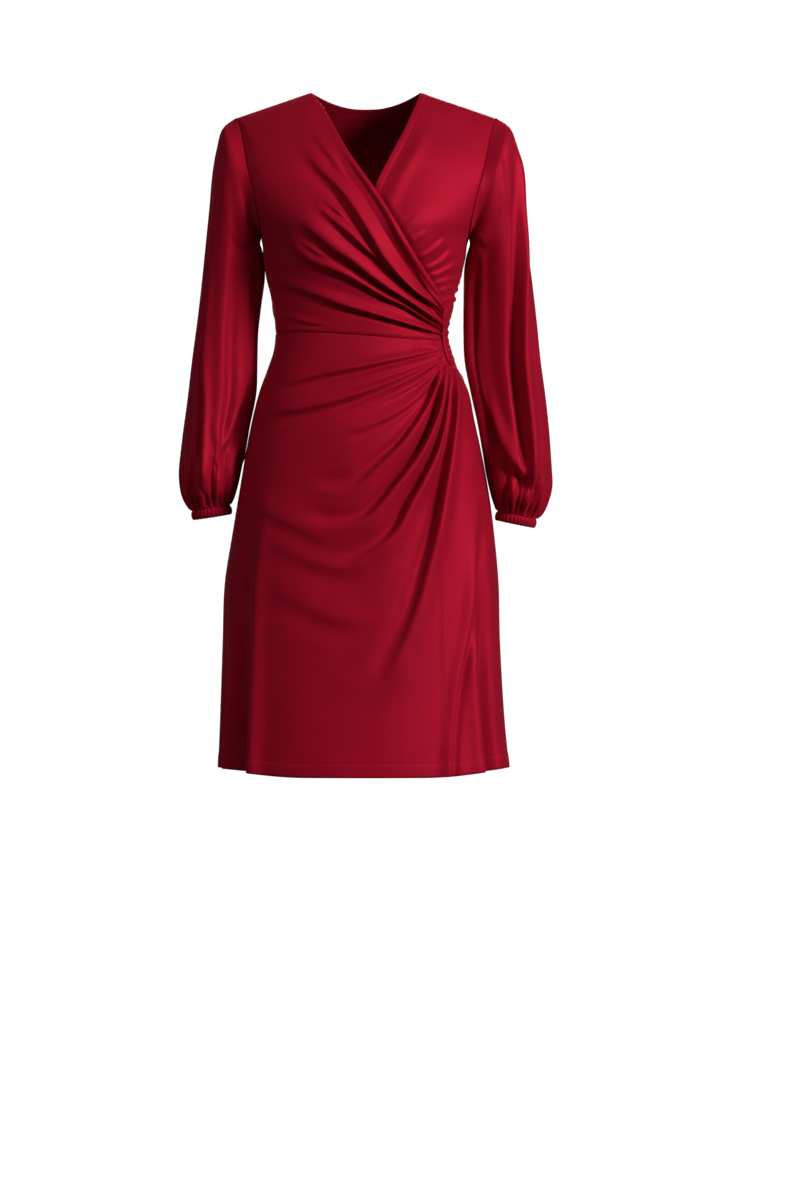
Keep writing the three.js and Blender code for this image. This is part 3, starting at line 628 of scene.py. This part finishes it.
def front_right_surface(size):
    """Right front: a Coons patch from the body edge to the side band, with folds fanning to the band."""
    gathers_z = waist_z(GATHERS_X)
    gathers_angle = float(front_angle(np.array(GATHERS_X), np.array(gathers_z)))
    edge_end = wrap_edge[-1] - np.array([0.6, 0])

    def bottom(u):
        return waist_line(mix(-90.0, gathers_angle, u))

    def top(u):
        point = at_share(wrap_edge, u)
        return ring_coordinates(np.where((u >= 1)[..., None], edge_end, point))

    def right(v):
        end = ring_coordinates(edge_end)
        return pair(mix(gathers_angle, end[0], v), mix(gathers_z, end[1], v))

    u, v = grid_of(*size)
    at = coons_patch(bottom, top, lambda share: body_edge(-1, share), right, u**0.9, v)
    base = ring_point(at[..., 0], at[..., 1])
    to_body, to_band, to_waist, to_edge = edge_distances(base)
    x, z = base[..., 0], base[..., 2]
    height, lean = fold_field(BODICE_FOLDS, x, z)
    free = smoothstep(0, 34, to_body) * smoothstep(0, 5, to_waist)
    rolled = smoothstep(0.2, 0.4, u) * smoothstep(0, 20, to_band)
    hollow = bell(to_edge - 16, 6.5) * smoothstep(0.95, 0.7, u)
    height += rolled * (4.0 * bell(to_edge - 5, 5.5) - 5.5 * hollow)
    height += 1.2 * np.cos(2 * np.pi * (9.5 * v + 0.2 * np.sin(9 * v))) * bell(to_band, 26)
    height += 0.5 * smoothstep(9.5, 8, to_edge)
    floor = -0.7 - 5.5 * smoothstep(12, 40, to_edge)
    height = free * soft_floor(height, floor) + OVERLAP_LIFT * smoothstep(0, 40, to_body)
    height += seam_dip(to_body) + seam_dip(to_waist)
    return leaned(base, height, free[..., None] * lean)


def front_left_surface(size):
    """Left front: a Coons patch from the neck edge to the body edge, dropped where the right front laps
    over it, with short creases fanning to the side seam and close ruching along the seam."""
    start_angle = float(front_angle(np.array(float(UNDERLAP_EDGE[0][0])), np.array(float(WAIST_Z))))

    def bottom(u):
        return waist_line(mix(start_angle, 90.0, u))

    def left(v):
        point = at_share(underlap_edge, v)
        low = np.where(v <= 0, waist_z(point[..., 0]), point[..., 1])
        return ring_coordinates(pair(point[..., 0], low))

    u, v = grid_of(*size)
    at = coons_patch(bottom, lambda share: body_edge(1, 1 - (1 - SHOULDER_SHARE) * share), left,
                     lambda share: body_edge(1, SHOULDER_SHARE * share), u, v)
    base = ring_point(at[..., 0], at[..., 1])
    to_edge, to_body, to_waist, to_shoulder = edge_distances(base)
    x, z = base[..., 0], base[..., 2]
    beside = measure_fold(wrap_edge[::4], x, z)[0]
    past_band = smoothstep(112, 119, x) * smoothstep(-296, -312, z)
    shown = np.maximum(smoothstep(-3, 9, beside), past_band)
    height, lean = fold_field(UNDERLAP_FOLDS, x, z)
    ruched = smoothstep(-266, -290, z) * bell(to_body, 38) * smoothstep(0, 3, to_waist)
    height += 2.0 * ruched * np.cos(2 * np.pi * (z / 12.5 + 0.16 * np.sin(z / 9)))
    rolled = smoothstep(-20, -120, z)
    height += 0.5 * smoothstep(9.5, 8, to_edge)
    height += rolled * (3.0 * bell(to_edge - 30, 12) - 4.0 * bell(to_edge, 14))
    free = shown * smoothstep(0, 4, to_body)
    height = free * soft_floor(height, -1.2) - UNDERLAP_DROP * (1 - shown)
    height -= 6.5 * (1 - shown) * smoothstep(-6, -30, beside) * smoothstep(-150, -175, z)
    height += seam_dip(to_body) + seam_dip(to_shoulder)
    return leaned(base, height, free[..., None] * lean)


def bodice_back_surface(size):
    """Bodice back: a Coons patch between waist, side seams, armholes, shoulders and back neck, with drag
    lines to the waist and a shallow ridge down the spine."""

    def bottom(u):
        return pair(mix(90.0, 270.0, u), waist_z(mix(130.0, -130.0, u)))

    def top(u):
        x = mix(SHOULDER_HALF_WIDTH, -SHOULDER_HALF_WIDTH, u)
        neck = BACK_NECK_DROP * np.maximum(0, 1 - (x / NECK_HALF_WIDTH) ** 2)
        return behind(ring_coordinates(pair(x, shoulder_z(x) - neck)))

    u, v = grid_of(*size)
    at = coons_patch(bottom, top, lambda share: behind(body_edge(1, SHOULDER_SHARE * share)),
                     lambda share: behind(body_edge(-1, SHOULDER_SHARE * share)), u, v)
    base = ring_point(at[..., 0], at[..., 1])
    to_left, to_right, to_waist, to_top = edge_distances(base)
    x, z = base[..., 0], base[..., 2]
    drag = smoothstep(-250, -330, z) * smoothstep(0, 30, to_waist)
    height = 1.6 * drag * np.sin(z / 9 + 28 * (u - 0.5) ** 2) * smoothstep(0.1, 0.35, np.abs(u - 0.5))
    folds, lean = fold_field(BACK_FOLDS, x, z)
    free = clear_of_seams(to_left, to_right, to_waist)
    height += free * folds + 1.4 * bell(u - 0.5, 0.05) * smoothstep(-340, -250, z)
    height += seam_dip(to_left) + seam_dip(to_right) + seam_dip(to_waist)
    on_shoulder = np.abs(x) > NECK_HALF_WIDTH
    height += np.where(on_shoulder, seam_dip(to_top), 0.5 * smoothstep(9, 7.5, to_top))
    return leaned(base, height, free[..., None] * lean)


def skirt_angles(start, end, count):
    """Ring angles for even cloth between them at mid skirt, closer where the skirt turns its corners."""
    fine = np.linspace(start, end, 1441)
    steps = np.linalg.norm(np.diff(ring_point(fine, -800.0), axis=0), axis=-1)
    middle = (fine[1:] + fine[:-1]) / 2
    steps *= 1 + 1.6 * bell(middle - 60, 20) + 0.6 * bell(middle + 55, 12)
    travelled = running(steps)
    return np.interp(np.linspace(0, travelled[-1], count + 1), travelled, fine)


def flute_height(angle, z):
    """Sum of the standing flutes, each a bell of the ring angle that grows from its top to the hem."""
    total = np.zeros(np.broadcast(angle, z).shape)
    for centre, spread, size, top in SKIRT_FLUTES:
        turn = (angle - centre + 540) % 360 - 180
        total += size * smoothstep(top, HEM_Z, z) * bell(turn, spread)
    return total


def skirt_surface(facing, size):
    """Skirt panel: body rings from the waist seam to the hem, with flutes and draped folds. The front
    adds close gathers that turn round the side band, the back a shallow ridge down its middle."""
    on_front = facing == "front"
    start, end = (-90, 90) if on_front else (90, 270)
    angle = skirt_angles(start, end, size[0])[:, None]
    share = 1 - (1 - np.linspace(0, 1, size[1] + 1)[None, :]) ** 1.25
    dip = HEM_FRONT_DIP * smoothstep(80, 20, np.abs(angle)) if on_front else 0
    base = ring_point(angle, mix(HEM_Z - dip, waist_line(angle)[..., 1], share))
    x, z = base[..., 0], base[..., 2]
    to_left, to_right, to_hem, to_waist = edge_distances(base)
    height = flute_height(angle, z)
    clear = clear_of_seams(to_left, to_right, to_waist)
    folds, lean = fold_field(SKIRT_FOLDS if on_front else SKIRT_BACK_FOLDS, x, z)
    if on_front:
        from_band = measure_fold(band_edge[::4], x, z)[0]
        under_band = (from_band > 0) & (z > -416)
        clear *= smoothstep(0, 9, np.abs(from_band)) * ~under_band
        off_x, off_z = x - GATHERS_TURN_X, z - GATHERS_TURN_Z
        folds += 1.3 * np.cos(26 * np.arctan2(off_z, off_x)) * bell(np.hypot(off_x, off_z) - 16, 34)
    else:
        height += 2.0 * bell(angle - 180, 7) * smoothstep(-420, -560, z) * smoothstep(-700, -560, z)
    height += clear * folds + 0.7 * smoothstep(21, 19, to_hem)
    height += seam_dip(to_left) + seam_dip(to_right) + seam_dip(to_waist)
    return leaned(base, height, clear[..., None] * lean)


def side_band_surface(size):
    """Side band: a narrow strip along the band edge, rounded across, tapered at both ends and crimped
    along its length."""
    u, v = grid_of(*size)
    point = at_share(band_edge, 1 - v)
    taper = np.sqrt(np.maximum(0, smoothstep(0, 0.35, v) * smoothstep(1, 0.85, v)))
    angle = front_angle(point[..., 0], point[..., 1]) + 0.3 + mix(3, 13, taper) * u
    base = ring_point(angle, point[..., 1])
    crimp = 0.5 * np.cos(2 * np.pi * (11 * v + 0.2 * np.sin(11 * v) + 0.12 * u)) * smoothstep(0, 0.25, u)
    round_top = np.sqrt(np.maximum(0, 1 - (2 * u - 1) ** 2))
    height = mix(-1.0, 1.8, smoothstep(0, 0.3, taper)) + mix(0.1, 2.0, taper) * round_top + crimp * taper
    return raised(base, height)


def armhole_ring(side, turn):
    """Loop of the armhole seam: turn 0 is the shoulder tip, 90 the front, 180 the armpit, 270 the back."""
    turn = turn % 360
    to_front = turn <= 180
    share = 1 - np.where(to_front, turn, 360 - turn) / 180
    at = ring_coordinates(armhole_outline(side, share))
    return ring_point(np.where(to_front, at[..., 0], 180 - at[..., 0]), at[..., 1])


def sleeve_ring(ring, turn):
    """Oval sleeve ring between its outer and inner edge, with its half depth to front and back."""
    outer_x, outer_z, inner_x, inner_z, depth = ring
    share = (1 + np.cos(np.radians(turn))) / 2
    return np.stack([mix(inner_x, outer_x, share), -depth * np.sin(np.radians(turn)),
                     mix(inner_z, outer_z, share)], axis=-1)


def sleeve_turns(side, columns):
    """Turns round a sleeve in the order that makes its surface face out."""
    return side * 360 * np.arange(columns) / columns


def sleeve_surface(side_name, side, size):
    """Sleeve: splines from the armhole through the rings, with long folds and a hollow towards its inner
    edge, gathered into the cuff with uneven waves that double in number on the way down."""
    turn = sleeve_turns(side, size[0])
    rings = SLEEVE_RINGS[side_name]
    seam = armhole_ring(side, turn)
    tucked = mix(seam, seam.mean(axis=0), 0.035) - np.array([side * 1.5, 0, 0])
    control = np.stack([seam + np.array([side * 1.0, 0, -0.5])]
                       + [sleeve_ring(ring, turn) for ring in rings], axis=1)
    base = np.concatenate([tucked[:, None], spline(control, size[1])], axis=1)
    from_top = edge_distances(base)[2]
    to_cuff = from_top[:, -1:] - from_top
    count = settings().cuff_gathers
    wave = np.radians(turn)[:, None]
    uneven = wave + 0.05 * np.sin(3 * wave + side) + 0.035 * np.sin(7 * wave)
    near = 2.8 * (2 * np.abs(np.sin(count / 2 * uneven)) - 1.3) * bell(to_cuff - 12, 24)
    far = 4.2 * (2 * np.abs(np.sin(count / 4 * uneven + 0.6)) - 1.3) * bell(to_cuff - 46, 34)
    turned = np.abs(turn)[:, None] + np.zeros_like(from_top)
    folded = np.minimum(turned, 360 - turned)
    slack = np.where(turned < 180, 1.0, 0.7) * smoothstep(0, 60, to_cuff)
    folds = [(*sizes, [(DEGREE_OF_SLEEVE * degrees, -down) for degrees, down in path])
             for *sizes, path in SLEEVE_FOLDS[side_name]]
    hollow = -16.0 * bell(folded - 118, 40) * smoothstep(20, 130, from_top) * smoothstep(40, 150, to_cuff)
    slack *= hollow + fold_field(folds, DEGREE_OF_SLEEVE * folded, -from_top)[0]
    height = (near + far) * smoothstep(0, 5, to_cuff) + slack
    return raised(base, height, closed=True)


def cuff_surface(side_name, side, size):
    """Cuff: the last sleeve ring carried down its own axis, plumped over the elastic and crimped."""
    ring = SLEEVE_RINGS[side_name][-1]
    turn = sleeve_turns(side, size[0])
    start = sleeve_ring(ring, turn)
    down = np.array([ring[3] - ring[1], 0, ring[0] - ring[2]], dtype=float)
    down *= -side / np.linalg.norm(down)
    share = np.linspace(0, 1, size[1] + 1)
    base = start[:, None] + down * (0.3 + CUFF_HEIGHT * share)[None, :, None]
    wave = np.radians(turn)[:, None]
    crimp = 0.75 * np.cos(34 * wave + 0.5 * np.sin(5 * wave) + 1.4 * share) * np.sin(np.pi * share) ** 0.5
    height = 1.5 * np.sin(np.pi * share) ** 0.6 + crimp
    return raised(base, height, closed=True)


class Signal:
    """One output of a shader node. Arithmetic on it adds Math nodes, so a material reads as a formula."""

    def __init__(self, tree, socket=None):
        self.tree = tree
        self.socket = socket

    def node(self, kind, inputs=None, output=0, **properties):
        """Add a node, set its properties, feed its inputs by name or number, and wrap one output."""
        made = self.tree.nodes.new(kind)
        for name, value in properties.items():
            setattr(made, name, value)
        for name, value in (inputs or {}).items():
            if isinstance(value, Signal):
                self.tree.links.new(value.socket, made.inputs[name])
            else:
                made.inputs[name].default_value = value
        return Signal(self.tree, made.outputs[output])

    def maths(self, operation, *values):
        """Math node over the values."""
        return self.node("ShaderNodeMath", dict(enumerate(values)), operation=operation)

    def __add__(self, other):
        return self.maths("ADD", self, other)

    def __sub__(self, other):
        return self.maths("SUBTRACT", self, other)

    def __mul__(self, other):
        return self.maths("MULTIPLY", self, other)

    def __truediv__(self, other):
        return self.maths("DIVIDE", self, other)

    def wave(self, pitch):
        """Sine of a length in metres, one wave per pitch."""
        return self.maths("SINE", self * (2 * np.pi / pitch))

    def near(self, centre, spread):
        """1 where the value is within the spread of the centre, easing to 0 at its edge."""
        off = self.maths("ABSOLUTE", self - centre) / spread
        return self.maths("SMOOTH_MAX", self.maths("SUBTRACT", 1.0, off), 0.0, 0.1)

    def ramp(self, low, high, start=0.0, end=1.0):
        """Eased change from start to end as the value goes from low to high."""
        return self.node("ShaderNodeMapRange", {0: self, 1: low, 2: high, 3: start, 4: end},
                         interpolation_type="SMOOTHSTEP")

    def colour(self, first, second):
        """Colour blended from the first to the second by this value."""
        first, second = (end if isinstance(end, Signal) else (*end, 1.0) for end in (first, second))
        return self.node("ShaderNodeMix", {0: self, 6: first, 7: second}, output=2, data_type="RGBA")


def map_axes(start, name):
    """The two axes of a UV map, as lengths in metres."""
    axes = start.node("ShaderNodeSeparateXYZ", {0: start.node("ShaderNodeUVMap", uv_map=name)})
    return axes, Signal(start.tree, axes.socket.node.outputs[1])


def knit_height(start, pitch):
    """Height of a fine plain knit on the cloth map: columns of loops leaning left and right in turn, a
    sine across for the columns and a slanted sine along for the loops."""
    across, along = map_axes(start, "cloth")
    columns = across.wave(pitch)
    lean = across.maths("ABSOLUTE", across.wave(2 * pitch)) * (pitch * 0.6)
    loops = (along + lean).wave(pitch * 1.25)
    return columns * 0.6 + loops * 0.4


def jersey_material(name, crimp=0.0):
    """Jersey cloth: a knit with a soft sheen, a little uneven in tone and gloss, with ribs of the crimp's
    pitch where one is given. Hemmed borders carry twin rows of stitches, read from the stitching map."""
    values = settings()
    material = bpy.data.materials.new(name)
    material.use_nodes = True
    tree = material.node_tree
    shader = tree.nodes["Principled BSDF"]
    start = Signal(tree)
    place = start.node("ShaderNodeTexCoord", output=3)
    broad = start.node("ShaderNodeTexNoise", {"Vector": place, "Scale": 9.0, "Detail": 3.0})
    fine = start.node("ShaderNodeTexNoise", {"Vector": place, "Scale": 420.0, "Detail": 2.0})
    along_hem, from_edge = map_axes(start, "stitching")
    inset = values.stitch_inset
    rows = from_edge.near(inset, STITCH_WIDTH) + from_edge.near(inset + STITCH_ROW_GAP, STITCH_WIDTH)
    stitches = rows * along_hem.wave(STITCH_PITCH).ramp(-0.5, 0.2)
    groove = from_edge.near(inset + STITCH_ROW_GAP / 2, 0.0035) * from_edge.ramp(0.0005, 0.002)
    base = np.array(values.jersey_colour)
    tone = broad * 0.7 + fine * 0.3
    colour = tone.ramp(0.3, 0.7).colour(base * 0.9, base * 1.12)
    colour = (stitches * 0.35).colour(colour, base * 0.55)
    rough = tone.ramp(0.3, 0.7, values.roughness - 0.05, values.roughness + 0.05)
    for name, value in (("Metallic", values.metallic), ("Specular IOR Level", values.gloss),
                        ("Specular Tint", (1.0, 0.12, 0.2, 1.0)), ("Sheen Weight", values.sheen),
                        ("Sheen Roughness", 0.45), ("Sheen Tint", (1.0, 0.05, 0.12, 1.0))):
        shader.inputs[name].default_value = value
    relief = (knit_height(start, values.knit_pitch) * 0.05 + fine * 0.05
              + broad * 0.5 - groove * 0.35 + stitches * 0.25)
    if crimp:
        relief = relief + map_axes(start, "cloth")[0].wave(crimp) * 0.12
    bump = start.node("ShaderNodeBump", {"Height": relief, "Distance": 0.001, "Strength": 0.9})
    for name, signal in (("Base Color", colour), ("Roughness", rough), ("Normal", bump)):
        tree.links.new(signal.socket, shader.inputs[name])
    return material


def jersey(slot):
    """The material of a record slot, made once."""
    name, crimp = {"jersey": ("dark_red_jersey", 0.0), "jersey_cuff": ("cuff_jersey", CRIMP_PITCH)}[slot]
    return bpy.data.materials.get(name) or jersey_material(name, crimp)


def dress_piece(name, outer, slot="jersey", closed=False, stitched=None):
    """Cloth piece that stands for the CAD node of the same name: material, rider and slot.

    The stitched border, if given, is a pair of grids: length along it and distance from it.
    """
    piece = cloth_object(name, outer, settings().thickness / MM, closed, stitched)
    piece.data.materials.append(jersey(slot))
    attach(piece, BODY)
    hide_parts(name.removesuffix("_cloth"))
    return piece


class WrapDressSettings(bpy.types.PropertyGroup):
    """Sizes and colours of the dress."""

    jersey_colour: FloatVectorProperty(
        name="Jersey colour", description="Linear colour of the cloth", subtype="COLOR", size=3,
        min=0.0, max=1.0, default=(0.29, 0.0034, 0.0165))
    roughness: FloatProperty(
        name="Roughness", description="Mean roughness of the cloth", min=0.0, max=1.0, default=0.53)
    gloss: FloatProperty(
        name="Gloss", description="Specular level of the cloth", min=0.0, max=1.0, default=0.2)
    metallic: FloatProperty(
        name="Coloured gloss", description="Share of the gloss that takes the colour of the yarn",
        min=0.0, max=1.0, default=0.25)
    sheen: FloatProperty(
        name="Sheen", description="Weight of the soft sheen", min=0.0, max=1.0, default=0.35)
    thickness: FloatProperty(
        name="Cloth thickness", description="Thickness of the cloth wall", unit="LENGTH",
        min=0.0006, max=0.003, default=0.0012)
    knit_pitch: FloatProperty(
        name="Knit pitch", description="Distance between columns of loops", unit="LENGTH",
        min=0.0004, max=0.003, default=0.0008)
    stitch_inset: FloatProperty(
        name="Stitch inset", description="Distance from a hemmed border to its first row of stitches",
        unit="LENGTH", min=0.002, max=0.04, default=0.009)
    fold_strength: FloatProperty(
        name="Fold strength", description="Factor on the height of the folds", min=0.0, max=2.0,
        default=1.0)
    cuff_gathers: IntProperty(
        name="Cuff gathers", description="Waves of the sleeve round the cuff", min=8, max=40, default=22)


class StageSettings(bpy.types.PropertyGroup):
    """Floor, lights and camera."""

    floor_drop: FloatProperty(
        name="Floor drop", description="Distance of the floor below the shoulders", unit="LENGTH",
        default=1.625)
    key_power: FloatProperty(
        name="Key light", description="Power of the key light in watts", min=0.0, default=290.0)
    fill_power: FloatProperty(
        name="Fill light", description="Power of the fill light in watts", min=0.0, default=22.0)
    front_power: FloatProperty(
        name="Front light", description="Power of the front light in watts", min=0.0, default=28.0)
    back_power: FloatProperty(
        name="Back light", description="Power of the back light in watts", min=0.0, default=110.0)
    sky_strength: FloatProperty(
        name="Sky light", description="Strength of the even light", min=0.0, default=0.08)
    camera_distance: FloatProperty(
        name="Camera distance", description="Distance of the camera from the dress", unit="LENGTH",
        default=8.0)
    focal_length: FloatProperty(
        name="Focal length", description="Focal length of the camera in millimetres", default=160.0)


class WRAPDRESS_OT_fronts(bpy.types.Operator):
    """Add the two bodice fronts that lap over each other."""

    bl_idname = "wrap_dress.fronts"
    bl_label = "Bodice fronts"

    def execute(self, context):
        left = front_left_surface((110, 120))
        dress_piece("bodice_front_left_cloth", left,
                    stitched=(along_grid(left, 1), edge_distances(left)[0]))
        right = front_right_surface((230, 180))
        dress_piece("bodice_front_right_cloth", right,
                    stitched=(along_grid(right, 0), edge_distances(right)[3]))
        return {"FINISHED"}


class WRAPDRESS_OT_back(bpy.types.Operator):
    """Add the bodice back."""

    bl_idname = "wrap_dress.back"
    bl_label = "Bodice back"

    def execute(self, context):
        back = bodice_back_surface((120, 110))
        from_top = edge_distances(back)[3]
        on_neck = np.abs(back[..., 0]) < NECK_HALF_WIDTH
        dress_piece("bodice_back_cloth", back,
                    stitched=(along_grid(back, 0), np.where(on_neck, from_top, NO_HEM)))
        return {"FINISHED"}


class WRAPDRESS_OT_skirt(bpy.types.Operator):
    """Add the draped skirt front and back."""

    bl_idname = "wrap_dress.skirt"
    bl_label = "Skirt"

    def execute(self, context):
        for facing, size, flat, area in (("front", (240, 204), (0.74, 0.70), 0.40),
                                         ("back", (170, 130), (0.62, 0.68), 0.35)):
            panel = skirt_surface(facing, size)
            dress_piece(f"skirt_{facing}_cloth", panel,
                        stitched=(along_grid(panel, 0), edge_distances(panel)[2] - 10))
        return {"FINISHED"}


class WRAPDRESS_OT_band(bpy.types.Operator):
    """Add the short band over the gathers at the left waist."""

    bl_idname = "wrap_dress.band"
    bl_label = "Side band"

    def execute(self, context):
        dress_piece("side_band_cloth", side_band_surface((24, 90)))
        return {"FINISHED"}


class WRAPDRESS_OT_sleeves(bpy.types.Operator):
    """Add the bishop sleeves."""

    bl_idname = "wrap_dress.sleeves"
    bl_label = "Sleeves"

    def execute(self, context):
        for name, side in SIDES:
            sleeve = sleeve_surface(name, side, (220, 190))
            dress_piece(f"sleeve_{name}_cloth", sleeve, closed=True)
        return {"FINISHED"}


class WRAPDRESS_OT_cuffs(bpy.types.Operator):
    """Add the narrow elastic cuffs."""

    bl_idname = "wrap_dress.cuffs"
    bl_label = "Cuffs"

    def execute(self, context):
        for name, side in SIDES:
            cuff = cuff_surface(name, side, (280, 14))
            dress_piece(f"cuff_{name}_cloth", cuff,
                        slot="jersey_cuff", closed=True)
        return {"FINISHED"}


def plain_material(name, colour, emission=0.0):
    """Matt paint, or an even glow where emission is given."""
    material = bpy.data.materials.new(name)
    material.use_nodes = True
    shader = material.node_tree.nodes["Principled BSDF"]
    for socket, value in (("Base Color", (*colour, 1.0)), ("Roughness", 0.9), ("Specular IOR Level", 0.1),
                          ("Emission Color", (*colour, 1.0)), ("Emission Strength", emission)):
        shader.inputs[socket].default_value = value
    return material


def placed(data, location, rotation):
    """Link an object that holds a light or camera, at its place and turn."""
    holder = bpy.data.objects.new(data.name, data)
    holder.location = location
    holder.rotation_euler = rotation
    bpy.context.scene.collection.objects.link(holder)
    return holder


def area_light(name, place, size, power):
    """Round area light turned from its place towards the light target, both in metres."""
    light = bpy.data.lights.new(name, "AREA")
    light.shape = "DISK"
    light.size = size
    light.energy = power
    aim = Vector(LIGHT_TARGET) - Vector(place)
    placed(light, place, aim.to_track_quat("-Z", "Y").to_euler())


class WRAPDRESS_OT_stage(bpy.types.Operator):
    """Add the floor, backdrop, lights and camera."""

    bl_idname = "wrap_dress.stage"
    bl_label = "Stage"

    def execute(self, context):
        values = context.scene.wrap_dress_stage
        scene = context.scene
        scene.view_settings.view_transform = "Standard"
        bpy.ops.mesh.primitive_circle_add(vertices=96, radius=FLOOR_RADIUS, fill_type="NGON",
                                          location=(0, 0, -values.floor_drop))
        floor = context.object
        floor.name = "studio_floor"
        paper = plain_material("studio_paper", (0.75, 0.75, 0.75), 0.95)
        tree = paper.node_tree
        place = Signal(tree).node("ShaderNodeTexCoord", output=3)
        radius = place.node("ShaderNodeVectorMath", {0: place}, output=1, operation="LENGTH")
        fade = radius.ramp(1.2, 3.1, 1.0, 0.0)
        tree.links.new(fade.socket, tree.nodes["Principled BSDF"].inputs["Alpha"])
        floor.data.materials.append(paper)
        bpy.ops.mesh.primitive_uv_sphere_add(segments=48, ring_count=24, radius=BACKDROP_RADIUS)
        backdrop = context.object
        backdrop.name = "studio_backdrop"
        backdrop.data.materials.append(plain_material("studio_glow", (0.94, 0.94, 0.94), 1.0))
        for thing, rays in ((floor, ("diffuse", "glossy")),
                            (backdrop, ("diffuse", "glossy", "transmission", "volume_scatter", "shadow"))):
            for ray in rays:
                setattr(thing, f"visible_{ray}", False)
        world = bpy.data.worlds.new("studio_sky")
        world.use_nodes = True
        sky = world.node_tree.nodes["Background"].inputs
        sky["Color"].default_value = (1.0, 0.98, 0.96, 1.0)
        sky["Strength"].default_value = values.sky_strength
        scene.world = world
        for name, place, size, power in (("key_light", (3.7, -2.9, 1.3), 1.6, values.key_power),
                                         ("fill_light", (-3.6, -2.4, 0.5), 1.8, values.fill_power),
                                         ("front_light", (-1.4, -3.8, 3.2), 1.6, values.front_power),
                                         ("back_light", (0.5, 4.6, 1.2), 1.8, values.back_power),
                                         ("low_back_light", (-0.6, 4.8, 0.0), 1.6, values.back_power / 3)):
            area_light(name, place, size, power)
        camera = bpy.data.cameras.new("camera")
        camera.lens = values.focal_length
        camera.sensor_width = 36.0
        scene.camera = placed(camera, (CAMERA_X, -values.camera_distance, CAMERA_Z), (np.pi / 2, 0.0, 0.0))
        return {"FINISHED"}


STEPS = (WRAPDRESS_OT_fronts, WRAPDRESS_OT_back, WRAPDRESS_OT_skirt, WRAPDRESS_OT_band,
         WRAPDRESS_OT_sleeves, WRAPDRESS_OT_cuffs, WRAPDRESS_OT_stage)


class VIEW3D_PT_wrap_dress(bpy.types.Panel):
    """Lists the settings and the steps that build the dress."""

    bl_label = "Wrap dress"
    bl_space_type = "VIEW_3D"
    bl_region_type = "UI"
    bl_category = "Dress"

    def draw(self, context):
        for group in (context.scene.wrap_dress, context.scene.wrap_dress_stage):
            for name in group.__annotations__:
                self.layout.prop(group, name)
        for step in STEPS:
            self.layout.operator(step.bl_idname)


CLASSES = (WrapDressSettings, StageSettings, *STEPS, VIEW3D_PT_wrap_dress)


def register():
    """Register the classes and hang the settings on the scene."""
    for part in CLASSES:
        bpy.utils.register_class(part)
    bpy.types.Scene.wrap_dress = PointerProperty(type=WrapDressSettings)
    bpy.types.Scene.wrap_dress_stage = PointerProperty(type=StageSettings)


def unregister():
    """Take the settings off the scene and unregister the classes."""
    del bpy.types.Scene.wrap_dress_stage
    del bpy.types.Scene.wrap_dress
    for part in reversed(CLASSES):
        bpy.utils.unregister_class(part)


def main():
    """Build the dress and its stage."""
    register()
    for step in STEPS:
        group, name = step.bl_idname.split(".")
        getattr(getattr(bpy.ops, group), name)()


if __name__ == "__main__":
    main()
